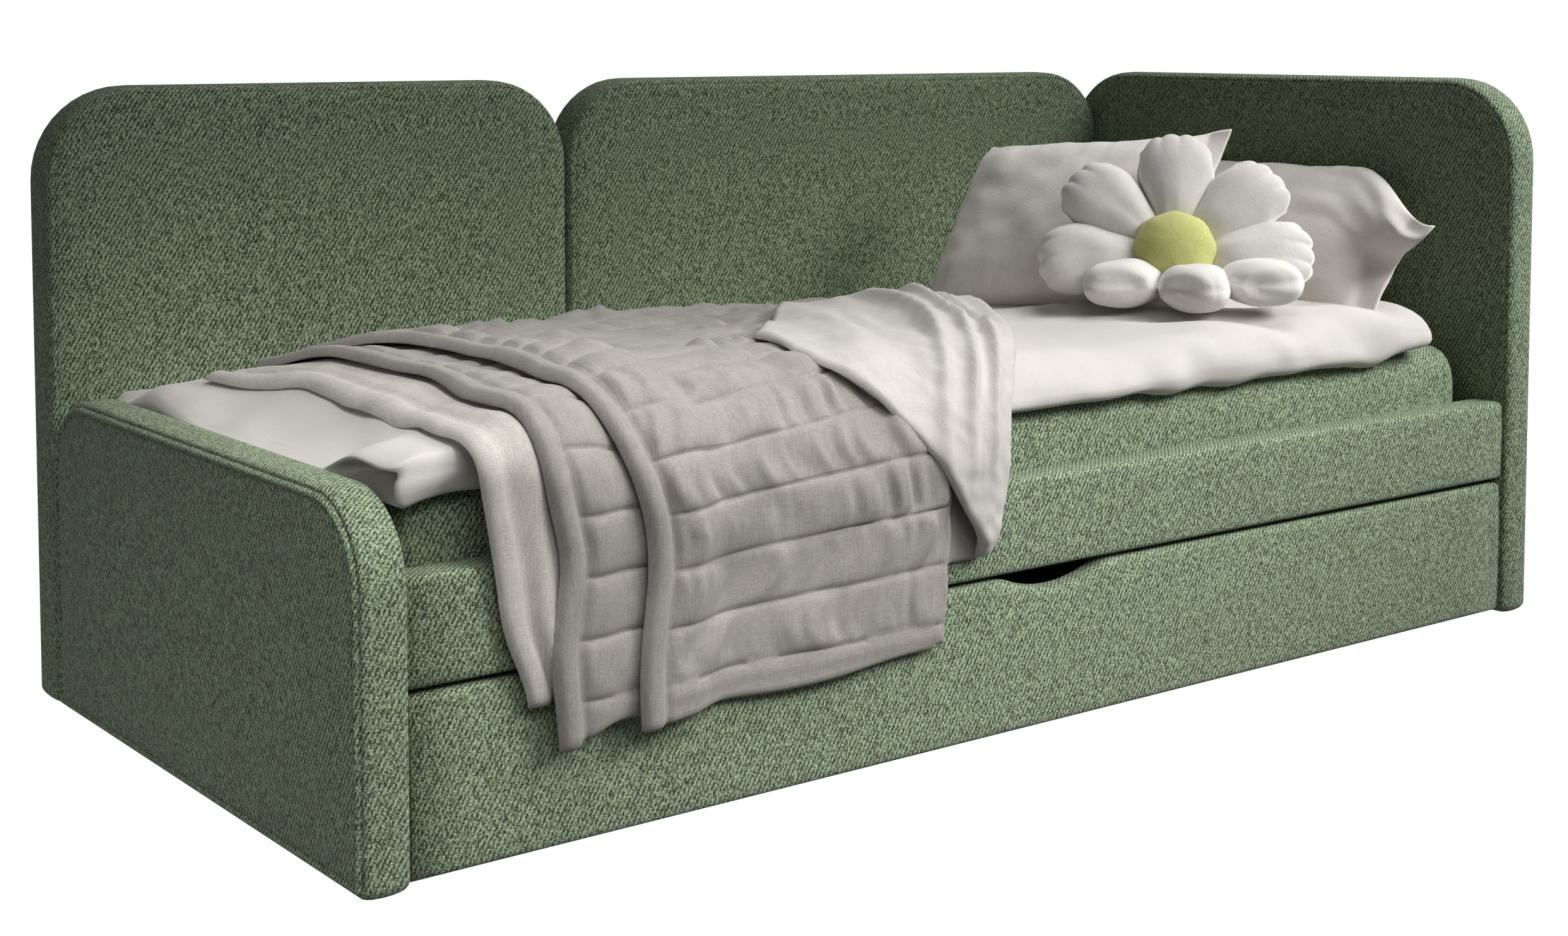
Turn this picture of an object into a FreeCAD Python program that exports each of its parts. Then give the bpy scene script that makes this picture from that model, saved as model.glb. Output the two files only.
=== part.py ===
import FreeCAD, Part

import math
import os
import re

import Sketcher

# An upholstered junior daybed with two end panels, two back panels, a slatted base, a full-length
# rolling drawer, and its mattress and bedding. Millimetres, +X from foot to head, -Y to the front,
# +Z up. The origin is on the floor at the centre of the whole outline.

DIMENSIONS = {
    # the bed's outline
    "inner_length": 1830,
    "panel_thickness": 60,
    "front_face": -440,
    "end_proud": 11,
    "back_face": 405,
    "back_thickness": 75,
    "head_height": 807,
    "foot_height": 415,
    "head_corner": 122,
    "foot_corner": 102,
    "rim": 9,
    "floor_gap": 4,
    "back_seam_x": -192,
    "back_seam": 4,
    # boards inside the upholstery
    "board": 18,
    "board_inset": 20,
    # rails, bearers and slats
    "rail_thickness": 47,
    "rail_bottom": 209,
    "rail_top": 326,
    "rear_rail_bottom": 165,
    "slat_top": 259,
    "slat_thickness": 12,
    "slat_width": 76,
    "slat_pitch": 146,
    "slat_count": 12,
    "slat_gap": 1,
    "bearer": 25,
    "bearer_end": 862,
    # corner brackets and their fasteners
    "bracket_leg": 50,
    "bracket_height": 45,
    "bracket_bottom": 212,
    "bracket_steel": 3,
    "fastener_offset": 30,
    "bolt_radius": 3,
    "bolt_head_radius": 6,
    "screw_radius": 2.2,
    "screw_head_radius": 5,
    "head_thickness": 3.5,
    "thread_gap": 0.05,
    "hole_gap": 0.3,
    "back_bolt_z": 195,
    "glide_radius": 12,
    # drawer
    "drawer_bottom_z": 9,
    "drawer_top_z": 203,
    "drawer_end_gap": 3,
    "drawer_front_thickness": 32,
    "drawer_board": 16,
    "drawer_cover": 6,
    "scoop_radius": 188,
    "scoop_depth": 21,
    "scoop_shoulder": 90,
    "box_half_length": 890,
    "box_depth": 760,
    "box_base_z": 46,
    "box_base": 6,
    "box_top_z": 170,
    # castors
    "wheel_radius": 20,
    "wheel_width": 14,
    "wheel_rim": 3,
    "axle_radius": 3,
    "axle_gap": 0.05,
    "castor_x": 800,
    "castor_front_y": -340,
    "castor_rear_y": 290,
    "castor_steel": 2,
    "castor_length": 50,
    "cheek_gap": 2,
    "cheek_foot": 3,
    # mattress and bedding
    "mattress_length": 1800,
    "mattress_front": -393,
    "mattress_width": 797,
    "mattress_top": 410,
    "duvet_top": 465,
    "duvet_head_x": 765,
    "layer_gap": 0.3,
    "blanket_thickness": 6.4,
    "quilt_thickness": 15,
    "flap_thickness": 11,
    "hang_back": -452,
    "hang_front": -468,
    "flap_front": -480,
    "blanket_foot_x": -830,
    "quilt_foot_x": -770,
    "quilt_hem_x": -205,
    "quilt_head_x": 230,
    "bedding_rear_y": 330,
    "blanket_hem_z": 180,
    "quilt_hem_z": 130,
    "flap_hem_z": 230,
    "flap_left_x": -290,
    "flap_fold_x": -100,
    "pillow_length": 560,
    "front_pillow_length": 410,
    "pillow_thickness": 80,
    "pillow_rim": 36,
    "rear_pillow_height": 230,
    "front_pillow_height": 320,
    "petal_length": 66,
    "petal_width": 44,
    "petal_depth": 30,
    "daisy_ring": 122,
    "daisy_centre_radius": 44,
}

# places of the repeated pieces along the bed
BACK_BOLT_X = (-860, -585, -310, -90, 200, 500, 800)
DRAWER_SCREW_X = (-700, -420, -140, 140, 420, 700)
DRAWER_SCREW_Z = 100
BRACKET_HOLE_Z = (12, 33)
FOOT_GLIDE_Y = (-400, -20, 360)
HEAD_GLIDE_Y = (-400, 10, 440)
BACK_GLIDE_X = (-900, -260, -120, 830)

# how the cushions lie: centres, the way they lean from the vertical, and the side they lean towards
REAR_PILLOW_CENTRE = (795, -62, 562)
REAR_PILLOW_LEAN = 45
FRONT_PILLOW_CENTRE = (469, 12, 598)
FRONT_PILLOW_AZIMUTH = 20
FRONT_PILLOW_LEAN = 42
DAISY_CENTRE = (452, -208, 582)
DAISY_AZIMUTH = 43
DAISY_LEAN = 32
DAISY_DROOP = 26
DAISY_CENTRE_RISE = 12
PETALS = 8

doc = FreeCAD.newDocument("upholstered_daybed")
sheet = doc.addObject("Spreadsheet::Sheet", "dims")
for row, (alias, value) in enumerate(DIMENSIONS.items(), start=1):
    sheet.set(f"A{row}", alias)
    sheet.set(f"B{row}", str(value))
    sheet.setAlias(f"B{row}", alias)
doc.recompute()

nodes = []


def bound(expression):
    """An expression with the sheet's name before each of its aliases."""

    def with_sheet(word):
        return f"dims.{word[0]}" if word[0] in DIMENSIONS else word[0]

    return re.sub(r"[a-z_]+", with_sheet, str(expression))


def bind(item, **sizes):
    """Bind an object's properties to expressions of the sheet's aliases."""
    for prop, expression in sizes.items():
        item.setExpression(prop, bound(expression))


def place(item, x=0, y=0, z=0, axis=(0, 0, 1), angle=0):
    """Turn an object about its own origin and bind that origin's place to the sheet."""
    item.Placement.Rotation = FreeCAD.Rotation(FreeCAD.Vector(*axis), angle)
    for letter, expression in zip("xyz", (x, y, z)):
        item.setExpression(f"Placement.Base.{letter}", bound(expression))
    return item


def node(item, label):
    """Name a finished sub-part and keep it for export."""
    item.Label = label
    nodes.append(item)
    return item


def box(name, length, width, height, x, y, z):
    """A Part box with its sizes and its lowest corner bound to the sheet."""
    item = doc.addObject("Part::Box", name)
    bind(item, Length=length, Width=width, Height=height)
    return place(item, x, y, z)


def rod(name, radius, length, x, y, z, direction="z"):
    """A Part cylinder that starts at a point and runs along a row axis."""
    item = doc.addObject("Part::Cylinder", name)
    bind(item, Radius=radius, Height=length)
    turns = {"x": ((0, 1, 0), 90), "y": ((1, 0, 0), -90), "z": ((0, 0, 1), 0)}
    axis, angle = turns[direction]
    return place(item, x, y, z, axis, angle)


def fuse(name, items):
    """One solid from pieces that touch or overlap."""
    item = doc.addObject("Part::MultiFuse", name)
    item.Shapes = list(items)
    item.Refine = True
    return item


def group(name, items):
    """Separate solids that share one node."""
    item = doc.addObject("Part::Compound", name)
    item.Links = list(items)
    return item


def cut(name, base, tools):
    """A base object with a list of tools taken away."""
    item = doc.addObject("Part::Cut", name)
    item.Base = base
    item.Tool = tools[0] if len(tools) == 1 else group(f"{name}_tools", tools)
    return item


def origin_plane(body, role):
    """One of a body's own origin planes."""
    return next(feature for feature in body.Origin.OriginFeatures if feature.Role == role)


def new_sketch(body, plane, name):
    """An empty sketch on one of a body's origin planes."""
    sketch = body.newObject("Sketcher::SketchObject", name)
    sketch.AttachmentSupport = [(origin_plane(body, plane), "")]
    sketch.MapMode = "FlatFace"
    return sketch


def driving(sketch, kind, references, name, expression):
    """A named driving constraint whose value is bound to the sheet."""
    index = sketch.addConstraint(Sketcher.Constraint(kind, *references, 1.0))
    sketch.renameConstraint(index, name)
    sketch.setExpression(f"Constraints.{name}", bound(expression))


def rectangle(body, plane, name, width, height):
    """A rectangle with its lowest corner at the sketch's origin."""
    sketch = new_sketch(body, plane, name)
    corners = [FreeCAD.Vector(*point) for point in ((0, 0, 0), (100, 0, 0), (100, 100, 0), (0, 100, 0))]
    for start, end in zip(corners, corners[1:] + corners[:1]):
        sketch.addGeometry(Part.LineSegment(start, end), False)
    for side in range(4):
        sketch.addConstraint(Sketcher.Constraint("Coincident", side, 2, (side + 1) % 4, 1))
    for side in range(4):
        sketch.addConstraint(Sketcher.Constraint("Vertical" if side % 2 else "Horizontal", side))
    sketch.addConstraint(Sketcher.Constraint("Coincident", 0, 1, -1, 1))
    driving(sketch, "DistanceX", (0, 1, 0, 2), "width", width)
    driving(sketch, "DistanceY", (1, 1, 1, 2), "height", height)
    return sketch


def circle(body, plane, name, radius, x, y):
    """A circle with its centre at a point of the sketch."""
    sketch = new_sketch(body, plane, name)
    sketch.addGeometry(Part.Circle(FreeCAD.Vector(0, 0, 0), FreeCAD.Vector(0, 0, 1), 10), False)
    driving(sketch, "Radius", (0,), "radius", radius)
    driving(sketch, "DistanceX", (-1, 1, 0, 3), "across", x)
    driving(sketch, "DistanceY", (-1, 1, 0, 3), "up", y)
    return sketch


def pad(body, sketch, length, backwards=False):
    """Pad a sketch by a length of the sheet."""
    feature = body.newObject("PartDesign::Pad", f"{sketch.Name}_pad")
    feature.Profile = sketch
    feature.Reversed = backwards
    feature.setExpression("Length", bound(length))
    sketch.Visibility = False
    doc.recompute()
    return feature


def is_across(edge, plane):
    """Whether an edge is straight and runs along a slab's thickness."""
    ends = [vertex.Point for vertex in edge.Vertexes]
    if edge.Curve.TypeId != "Part::GeomLine" or len(ends) < 2:
        return False
    run = ends[1] - ends[0]
    along = {"YZ_Plane": run.x, "XZ_Plane": run.y, "XY_Plane": run.z}[plane]
    return abs(along) > 0.99 * run.Length


def edge_names(feature, test):
    """The names of a feature's edges that pass a test."""
    return [f"Edge{number}" for number, edge in enumerate(feature.Shape.Edges, start=1) if test(edge)]


def fillet(body, feature, names, radius, label):
    """Round some of a feature's edges by a radius of the sheet."""
    rounding = body.newObject("PartDesign::Fillet", f"{body.Name}_{label}")
    rounding.Base = (feature, names)
    rounding.setExpression("Radius", bound(radius))
    doc.recompute()
    return rounding


def slab(name, plane, width, height, thickness, at=(0, 0, 0), corner=None, rim=None):
    """A padded rectangle, placed, with rounded corners and then a rounded rim.

    An upright slab keeps its bottom edges square. A lying one is rounded all over.
    """
    body = doc.addObject("PartDesign::Body", name)
    outline = rectangle(body, plane, f"{name}_outline", width, height)
    feature = pad(body, outline, thickness, backwards=(plane == "XZ_Plane"))
    lying = plane == "XY_Plane"

    def is_free(edge):
        return lying or edge.BoundBox.ZMax > 0.01

    if corner:
        names = edge_names(feature, lambda edge: is_across(edge, plane) and is_free(edge))
        feature = fillet(body, feature, names, corner, "corners")
    if rim:
        names = edge_names(feature, lambda edge: not is_across(edge, plane) and is_free(edge))
        feature = fillet(body, feature, names, rim, "rim")
    return place(body, *at) if at else body


# ---- end panels ----------------------------------------------------------------------------------
# Each is a board in a padded cover. The cover is open underneath, where its cloth is tacked.

HALF = "inner_length / 2"
BOARD_IN = "(panel_thickness - board) / 2"
BRACKET_END_X = f"{HALF} - bracket_steel"
BOLT_HOLE = "bolt_radius + hole_gap"
BOLT_THREAD = "bolt_radius + thread_gap"
SCREW_HOLE = "screw_radius + hole_gap"
SCREW_THREAD = "screw_radius + thread_gap"
THREAD_DEPTH = "2 / 3 * board"


def bracket_points():
    """Where the brackets' fasteners stand: each corner's end and side, and a height in the bracket."""
    return [(end, side, lift) for end in (-1, 1) for side in ("front", "rear") for lift in BRACKET_HOLE_Z]


def corner_y(side, offset):
    """A y at an offset inward from the inner face of the front or rear rail."""
    if side == "front":
        return f"front_face + rail_thickness + {offset}"
    return f"back_face - board - ({offset})"


def along_x(name, radius, start, length, end, side, lift):
    """A cylinder outward along x from a distance off the bed's middle, at a bracket's hole."""
    y = corner_y(side, "fastener_offset")
    low = start if end > 0 else f"-({start}) - ({length})"
    return rod(name, radius, length, low, y, f"bracket_bottom + {lift}", "x")


def end_panel(name, sign, height, corner, rear):
    """A padded end panel: its board, and its cover with the bolts' holes."""
    depth = f"{rear} - front_face + end_proud"
    front = "front_face - end_proud"
    inner = HALF if sign > 0 else f"-({HALF}) - panel_thickness"
    outer_slab = slab(f"{name}_outer", "YZ_Plane", depth, f"{height} - floor_gap", "panel_thickness",
                      (inner, front, "floor_gap"), corner, "rim")
    blank = slab(f"{name}_blank", "YZ_Plane", f"{depth} - 2 * board_inset",
                 f"{height} - floor_gap - board_inset", "board",
                 (f"{inner} + {BOARD_IN}", f"{front} + board_inset", "floor_gap"),
                 f"{corner} - board_inset")
    threads = []
    passages = []
    for end, side, lift in bracket_points():
        if end == sign:
            tag = f"{name}_{side}_{lift}"
            passages.append(along_x(f"{tag}_passage", BOLT_HOLE, HALF, BOARD_IN, end, side, lift))
            threads.append(along_x(f"{tag}_thread", BOLT_THREAD, f"{HALF} + {BOARD_IN}", THREAD_DEPTH,
                                   end, side, lift))
    node(cut(f"{name}_board_drilled", blank, threads), f"{name}_board")
    whole = slab(f"{name}_core", "YZ_Plane", f"{depth} - 2 * board_inset",
                 f"{height} - floor_gap - board_inset", "board",
                 (f"{inner} + {BOARD_IN}", f"{front} + board_inset", "floor_gap"),
                 f"{corner} - board_inset")
    node(cut(f"{name}_cover_hollow", outer_slab, [whole] + passages), f"{name}_cover")


end_panel("footboard", -1, "foot_height", "foot_corner", "back_face")
end_panel("headboard", 1, "head_height", "head_corner", "(back_face + back_thickness)")

# ---- back panels ---------------------------------------------------------------------------------

BACK_BOARD_Y = "back_face + (back_thickness - board) / 2"


def back_bolt_holes(name, radius, start, length, places):
    """Holes along y for the bolts that hold the back panels to the rear rail."""
    return [rod(f"{name}_{number}", radius, length, x, start, "back_bolt_z", "y")
            for number, x in enumerate(places)]


def back_panel(name, left, right):
    """A padded back panel: its board, and its cover with the bolts' holes."""
    width = f"{right} - ({left})"
    places = [x for x in BACK_BOLT_X if (x < DIMENSIONS["back_seam_x"]) == (name == "back_left")]
    outer_slab = slab(f"{name}_outer", "XZ_Plane", width, "head_height - floor_gap", "back_thickness",
                      (left, "back_face", "floor_gap"), "head_corner", "rim")
    blanks = [slab(f"{name}_{use}", "XZ_Plane", f"{width} - 2 * board_inset",
                   "head_height - floor_gap - board_inset", "board",
                   (f"{left} + board_inset", BACK_BOARD_Y, "floor_gap"), "head_corner - board_inset")
              for use in ("blank", "core")]
    threads = back_bolt_holes(f"{name}_thread", BOLT_THREAD, BACK_BOARD_Y, THREAD_DEPTH, places)
    passages = back_bolt_holes(f"{name}_passage", BOLT_HOLE, "back_face", "(back_thickness - board) / 2",
                               places)
    node(cut(f"{name}_board_drilled", blanks[0], threads), f"{name}_board")
    node(cut(f"{name}_cover_hollow", outer_slab, [blanks[1]] + passages), f"{name}_cover")


back_panel("back_left", f"-({HALF}) - panel_thickness", "back_seam_x - back_seam / 2")
back_panel("back_right", "back_seam_x + back_seam / 2", HALF)

# ---- rails, bearers and slats --------------------------------------------------------------------

RAIL_REAR = "front_face + rail_thickness"


def along_y(name, radius, depth, end, side, lift):
    """A cylinder into a rail along y at a bracket's hole, from the rail's inner face."""
    x = f"{end} * ({HALF} - fastener_offset)"
    start = f"{RAIL_REAR} - ({depth})" if side == "front" else "back_face - board"
    return rod(name, radius, depth, x, start, f"bracket_bottom + {lift}", "y")


def rail_threads(side):
    """The screw holes in one rail's inner face."""
    return [along_y(f"{side}_thread_{number}", SCREW_THREAD, THREAD_DEPTH, *point)
            for number, point in enumerate(bracket_points()) if point[1] == side]


def front_rail_box(name):
    """The front rail's board, flush with the rail's inner face."""
    return box(name, "inner_length", "board", "rail_top - rail_bottom - 2 * drawer_cover",
               f"-({HALF})", f"{RAIL_REAR} - board", "rail_bottom + drawer_cover")


rail_slab = slab("front_rail_outer", "YZ_Plane", "rail_thickness", "rail_top - rail_bottom", "inner_length",
                 (f"-({HALF})", "front_face", "rail_bottom"), "rim")
front_rail_blank = front_rail_box("front_rail_blank")
node(cut("front_rail_drilled", front_rail_blank, rail_threads("front")), "front_rail_board")
node(cut("front_rail_hollow", rail_slab, [front_rail_box("front_rail_core")]), "front_rail_cover")

rear_blank = box("rear_rail_blank", "inner_length", "board", "slat_top - rear_rail_bottom",
                 f"-({HALF})", "back_face - board", "rear_rail_bottom")
rear_holes = back_bolt_holes("rear_rail_hole", BOLT_HOLE, "back_face - board", "board", BACK_BOLT_X)
node(cut("rear_rail_drilled", rear_blank, rail_threads("rear") + rear_holes), "rear_rail")

BEARER_Z = "slat_top - slat_thickness - bearer"
for side, y in (("front", RAIL_REAR), ("rear", "back_face - board - bearer")):
    bearer = box(f"bearer_{side}_bar", "2 * bearer_end", "bearer", "bearer", "-bearer_end", y, BEARER_Z)
    node(bearer, f"bearer_{side}")

SLAT_LENGTH = "back_face - board - front_face - rail_thickness - 2 * slat_gap"
for number in range(DIMENSIONS["slat_count"]):
    steps = number - (DIMENSIONS["slat_count"] - 1) / 2
    slat = box(f"slat_bar_{number + 1}", "slat_width", SLAT_LENGTH, "slat_thickness",
               f"{steps} * slat_pitch - slat_width / 2", f"{RAIL_REAR} + slat_gap",
               "slat_top - slat_thickness")
    node(slat, f"slat_{number + 1:02d}")

# ---- corner brackets and fasteners ---------------------------------------------------------------


def bracket(end, side):
    """A steel angle in one corner, with two holes in each leg."""
    tag = f"bracket_{'foot' if end < 0 else 'head'}_{side}"
    low_x = f"-({HALF})" if end < 0 else f"{HALF} - bracket_leg"
    plate_x = f"-({HALF})" if end < 0 else BRACKET_END_X
    low_y = RAIL_REAR if side == "front" else "back_face - board - bracket_leg"
    plate_y = RAIL_REAR if side == "front" else "back_face - board - bracket_steel"
    end_leg = box(f"{tag}_end_leg", "bracket_steel", "bracket_leg", "bracket_height", plate_x, low_y,
                  "bracket_bottom")
    rail_leg = box(f"{tag}_rail_leg", "bracket_leg", "bracket_steel", "bracket_height", low_x, plate_y,
                   "bracket_bottom")
    holes = []
    for lift in BRACKET_HOLE_Z:
        holes.append(along_x(f"{tag}_bolt_hole_{lift}", BOLT_HOLE, BRACKET_END_X, "bracket_steel",
                             end, side, lift))
        screw_x = f"{end} * ({HALF} - fastener_offset)"
        holes.append(rod(f"{tag}_screw_hole_{lift}", SCREW_HOLE, "bracket_steel",
                         screw_x, plate_y, f"bracket_bottom + {lift}", "y"))
    return cut(tag, fuse(f"{tag}_angle", [end_leg, rail_leg]), holes)


brackets = [bracket(end, side) for end in (-1, 1) for side in ("front", "rear")]
node(group("brackets", brackets), "corner_brackets")

BOLT_LENGTH = f"bracket_steel + {BOARD_IN} + board / 2"
SCREW_LENGTH = "bracket_steel + board / 2"


def bracket_bolt(number, point):
    """A bolt from a bracket through an end panel's padding into its board."""
    shank = along_x(f"bolt_{number}_shank", "bolt_radius", BRACKET_END_X, BOLT_LENGTH, *point)
    head = along_x(f"bolt_{number}_head", "bolt_head_radius", f"{BRACKET_END_X} - head_thickness",
                   "head_thickness", *point)
    return fuse(f"bolt_{number}", [shank, head])


def bracket_screw(number, point):
    """A screw from a bracket into a rail."""
    end, side, lift = point
    x = f"{end} * ({HALF} - fastener_offset)"
    z = f"bracket_bottom + {lift}"
    inner = f"{RAIL_REAR} + bracket_steel" if side == "front" else "back_face - board - bracket_steel"
    shank_y = f"{inner} - ({SCREW_LENGTH})" if side == "front" else inner
    head_y = inner if side == "front" else f"{inner} - head_thickness"
    shank = rod(f"screw_{number}_shank", "screw_radius", SCREW_LENGTH, x, shank_y, z, "y")
    head = rod(f"screw_{number}_head", "screw_head_radius", "head_thickness", x, head_y, z, "y")
    return fuse(f"screw_{number}", [shank, head])


def back_bolt(number, x):
    """A bolt from the rear rail through a back panel's padding into its board."""
    start = "back_face - board"
    length = "board + (back_thickness - board) / 2 + board / 2"
    shank = rod(f"back_bolt_{number}_shank", "bolt_radius", length, x, start, "back_bolt_z", "y")
    head = rod(f"back_bolt_{number}_head", "bolt_head_radius", "head_thickness", x,
               f"{start} - head_thickness", "back_bolt_z", "y")
    return fuse(f"back_bolt_{number}", [shank, head])


bolts = [bracket_bolt(number, point) for number, point in enumerate(bracket_points())]
node(group("bolts", bolts), "bracket_bolts")
screws = [bracket_screw(number, point) for number, point in enumerate(bracket_points())]
node(group("screws", screws), "bracket_screws")
back_bolts = [back_bolt(number, x) for number, x in enumerate(BACK_BOLT_X)]
node(group("back_bolt_set", back_bolts), "back_bolts")

glide_places = [(f"-({HALF}) - panel_thickness / 2", y) for y in FOOT_GLIDE_Y]
glide_places += [(f"{HALF} + panel_thickness / 2", y) for y in HEAD_GLIDE_Y]
glide_places += [(x, "back_face + back_thickness / 2") for x in BACK_GLIDE_X]
glides = [rod(f"glide_{number}", "glide_radius", "floor_gap", x, y, 0)
          for number, (x, y) in enumerate(glide_places)]
node(group("glides", glides), "panel_glides")

# ---- drawer --------------------------------------------------------------------------------------

DRAWER_LENGTH = "inner_length - 2 * drawer_end_gap"
DRAWER_REAR = "front_face + drawer_front_thickness"
BOX_LENGTH = "2 * box_half_length"
BOX_FLOOR = "box_base_z + box_base"
BOX_HEIGHT = f"box_top_z - ({BOX_FLOOR})"


def scooped_slab(name, length, height, thickness, at, drop, rim=None):
    """An upright board with a shallow hand scoop in the middle of its top edge."""
    body = doc.addObject("PartDesign::Body", name)
    outline = rectangle(body, "XZ_Plane", f"{name}_outline", length, height)
    pad(body, outline, thickness, backwards=True)
    volume = body.Shape.Volume
    reach = circle(body, "XZ_Plane", f"{name}_scoop", f"scoop_radius + {drop}", f"({length}) / 2",
                   f"{height} + scoop_radius + {drop} - scoop_depth")
    pocket = body.newObject("PartDesign::Pocket", f"{name}_pocket")
    pocket.Profile = reach
    pocket.Type = 1
    pocket.Midplane = True
    doc.recompute()
    if body.Shape.Volume >= volume:
        raise RuntimeError(f"{name}: the scoop cuts nothing")
    top = pocket.Shape.BoundBox.ZMax
    end = pocket.Shape.BoundBox.XMax

    def is_shoulder(edge):
        bounds = edge.BoundBox
        return is_across(edge, "XZ_Plane") and bounds.ZMin > top - 0.01 and 0.01 < bounds.XMin < end - 0.01

    shoulders = edge_names(pocket, is_shoulder)
    feature = fillet(body, pocket, shoulders, "scoop_shoulder", "shoulders")
    if rim:
        front = feature.Shape.BoundBox.YMin
        names = edge_names(feature, lambda edge: edge.BoundBox.YMax < front + 0.01)
        fillet(body, feature, names, rim, "rim")
    return place(body, *at)


def drawer_front_board(name):
    """The drawer front's board, flush with the front's inner face."""
    return scooped_slab(name, f"{DRAWER_LENGTH} - 2 * drawer_cover",
                        "drawer_top_z - drawer_bottom_z - 2 * drawer_cover", "drawer_board",
                        (f"-({DRAWER_LENGTH}) / 2 + drawer_cover", f"{DRAWER_REAR} - drawer_board",
                         "drawer_bottom_z + drawer_cover"), 0)


def drawer_screw_rods(name, radius, start, length):
    """Cylinders along y at the drawer screws' places."""
    return [rod(f"{name}_{number}", radius, length, x, start, DRAWER_SCREW_Z, "y")
            for number, x in enumerate(DRAWER_SCREW_X)]


FRONT_THREAD_DEPTH = "3 / 4 * drawer_board"
front_slab = scooped_slab("drawer_front_outer", DRAWER_LENGTH, "drawer_top_z - drawer_bottom_z",
                          "drawer_front_thickness",
                          (f"-({DRAWER_LENGTH}) / 2", "front_face", "drawer_bottom_z"), 0, "drawer_cover")
front_threads = drawer_screw_rods("front_board_thread", SCREW_THREAD,
                                  f"{DRAWER_REAR} - {FRONT_THREAD_DEPTH}", FRONT_THREAD_DEPTH)
front_blank = drawer_front_board("drawer_front_blank")
front_core = drawer_front_board("drawer_front_core")
node(cut("front_board_drilled", front_blank, front_threads), "drawer_front_board")
node(cut("drawer_front_hollow", front_slab, [front_core]), "drawer_front_cover")

box_front_blank = box("box_front_blank", BOX_LENGTH, "drawer_board", BOX_HEIGHT, "-box_half_length",
                      DRAWER_REAR, BOX_FLOOR)
box_front_holes = drawer_screw_rods("box_front_hole", SCREW_HOLE, DRAWER_REAR, "drawer_board")
node(cut("box_front_drilled", box_front_blank, box_front_holes), "drawer_box_front")
SIDE_Y = f"{DRAWER_REAR} + drawer_board"
SIDE_DEPTH = "box_depth - 2 * drawer_board"
for name, x in (("left", "-box_half_length"), ("right", "box_half_length - drawer_board")):
    side = box(f"side_{name}_board", "drawer_board", SIDE_DEPTH, BOX_HEIGHT, x, SIDE_Y, BOX_FLOOR)
    node(side, f"drawer_side_{name}")
node(box("back_of_box", BOX_LENGTH, "drawer_board", BOX_HEIGHT, "-box_half_length",
         f"{DRAWER_REAR} + box_depth - drawer_board", BOX_FLOOR), "drawer_back")
node(box("divider_board", "drawer_board", SIDE_DEPTH, f"{BOX_HEIGHT} - drawer_cover", "-drawer_board / 2",
         SIDE_Y, BOX_FLOOR), "drawer_divider")
node(box("base_board", BOX_LENGTH, "box_depth", "box_base", "-box_half_length", DRAWER_REAR, "box_base_z"),
     "drawer_base")

screw_shanks = drawer_screw_rods("drawer_screw_shank", "screw_radius", f"{DRAWER_REAR} - drawer_board / 2",
                                 "3 / 2 * drawer_board")
screw_heads = drawer_screw_rods("drawer_screw_head", "screw_head_radius", SIDE_Y, "head_thickness")
screw_pairs = enumerate(zip(screw_shanks, screw_heads))
node(group("drawer_screw_set", [fuse(f"drawer_screw_{number}", pair) for number, pair in screw_pairs]),
     "drawer_screws")

# ---- castors -------------------------------------------------------------------------------------

CASTORS = [(side, y) for side in (-1, 1) for y in ("castor_front_y", "castor_rear_y")]
CHEEK_GAP = "wheel_width / 2 + cheek_gap"


def castor_bracket(number, side, y):
    """A bent steel fork: a plate under the drawer's base and two cheeks that hold the axle."""
    x = f"{side} * castor_x"
    width = f"2 * ({CHEEK_GAP} + castor_steel)"
    plate = box(f"fork_{number}_plate", width, "castor_length", "castor_steel",
                f"{x} - ({width}) / 2", f"{y} - castor_length / 2", "box_base_z - castor_steel")
    cheeks = [box(f"fork_{number}_cheek_{label}", "castor_steel", "castor_length / 2",
                  "box_base_z - wheel_radius + axle_radius + cheek_foot", low, f"{y} - castor_length / 4",
                  "wheel_radius - axle_radius - cheek_foot")
              for label, low in (("a", f"{x} - ({CHEEK_GAP}) - castor_steel"), ("b", f"{x} + {CHEEK_GAP}"))]
    hole = rod(f"fork_{number}_hole", "axle_radius", width, f"{x} - ({width}) / 2", y, "wheel_radius", "x")
    return cut(f"fork_{number}", fuse(f"fork_{number}_bent", [plate] + cheeks), [hole])


def castor_axle(number, side, y):
    """A pin through the fork and the wheel."""
    length = f"2 * ({CHEEK_GAP} + castor_steel)"
    start = f"{side} * castor_x - ({length}) / 2"
    return rod(f"axle_{number}", "axle_radius", length, start, y, "wheel_radius", "x")


def castor_wheel(number, side, y):
    """A plastic wheel with rounded rims and a bore that runs on the axle."""
    body = doc.addObject("PartDesign::Body", f"wheel_{number}")
    disc = pad(body, circle(body, "YZ_Plane", f"wheel_{number}_disc", "wheel_radius", 0, 0), "wheel_width")
    rounded = fillet(body, disc, edge_names(disc, lambda edge: edge.Curve.TypeId == "Part::GeomCircle"),
                     "wheel_rim", "rims")
    bore = circle(body, "YZ_Plane", f"wheel_{number}_bore", "axle_radius + axle_gap", 0, 0)
    pocket = body.newObject("PartDesign::Pocket", f"wheel_{number}_pocket")
    pocket.Profile = bore
    pocket.Type = 1
    pocket.Midplane = True
    doc.recompute()
    if pocket.Shape.Volume >= rounded.Shape.Volume:
        raise RuntimeError(f"wheel {number}: the bore cuts nothing")
    return place(body, f"{side} * castor_x - wheel_width / 2", y, "wheel_radius")


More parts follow.
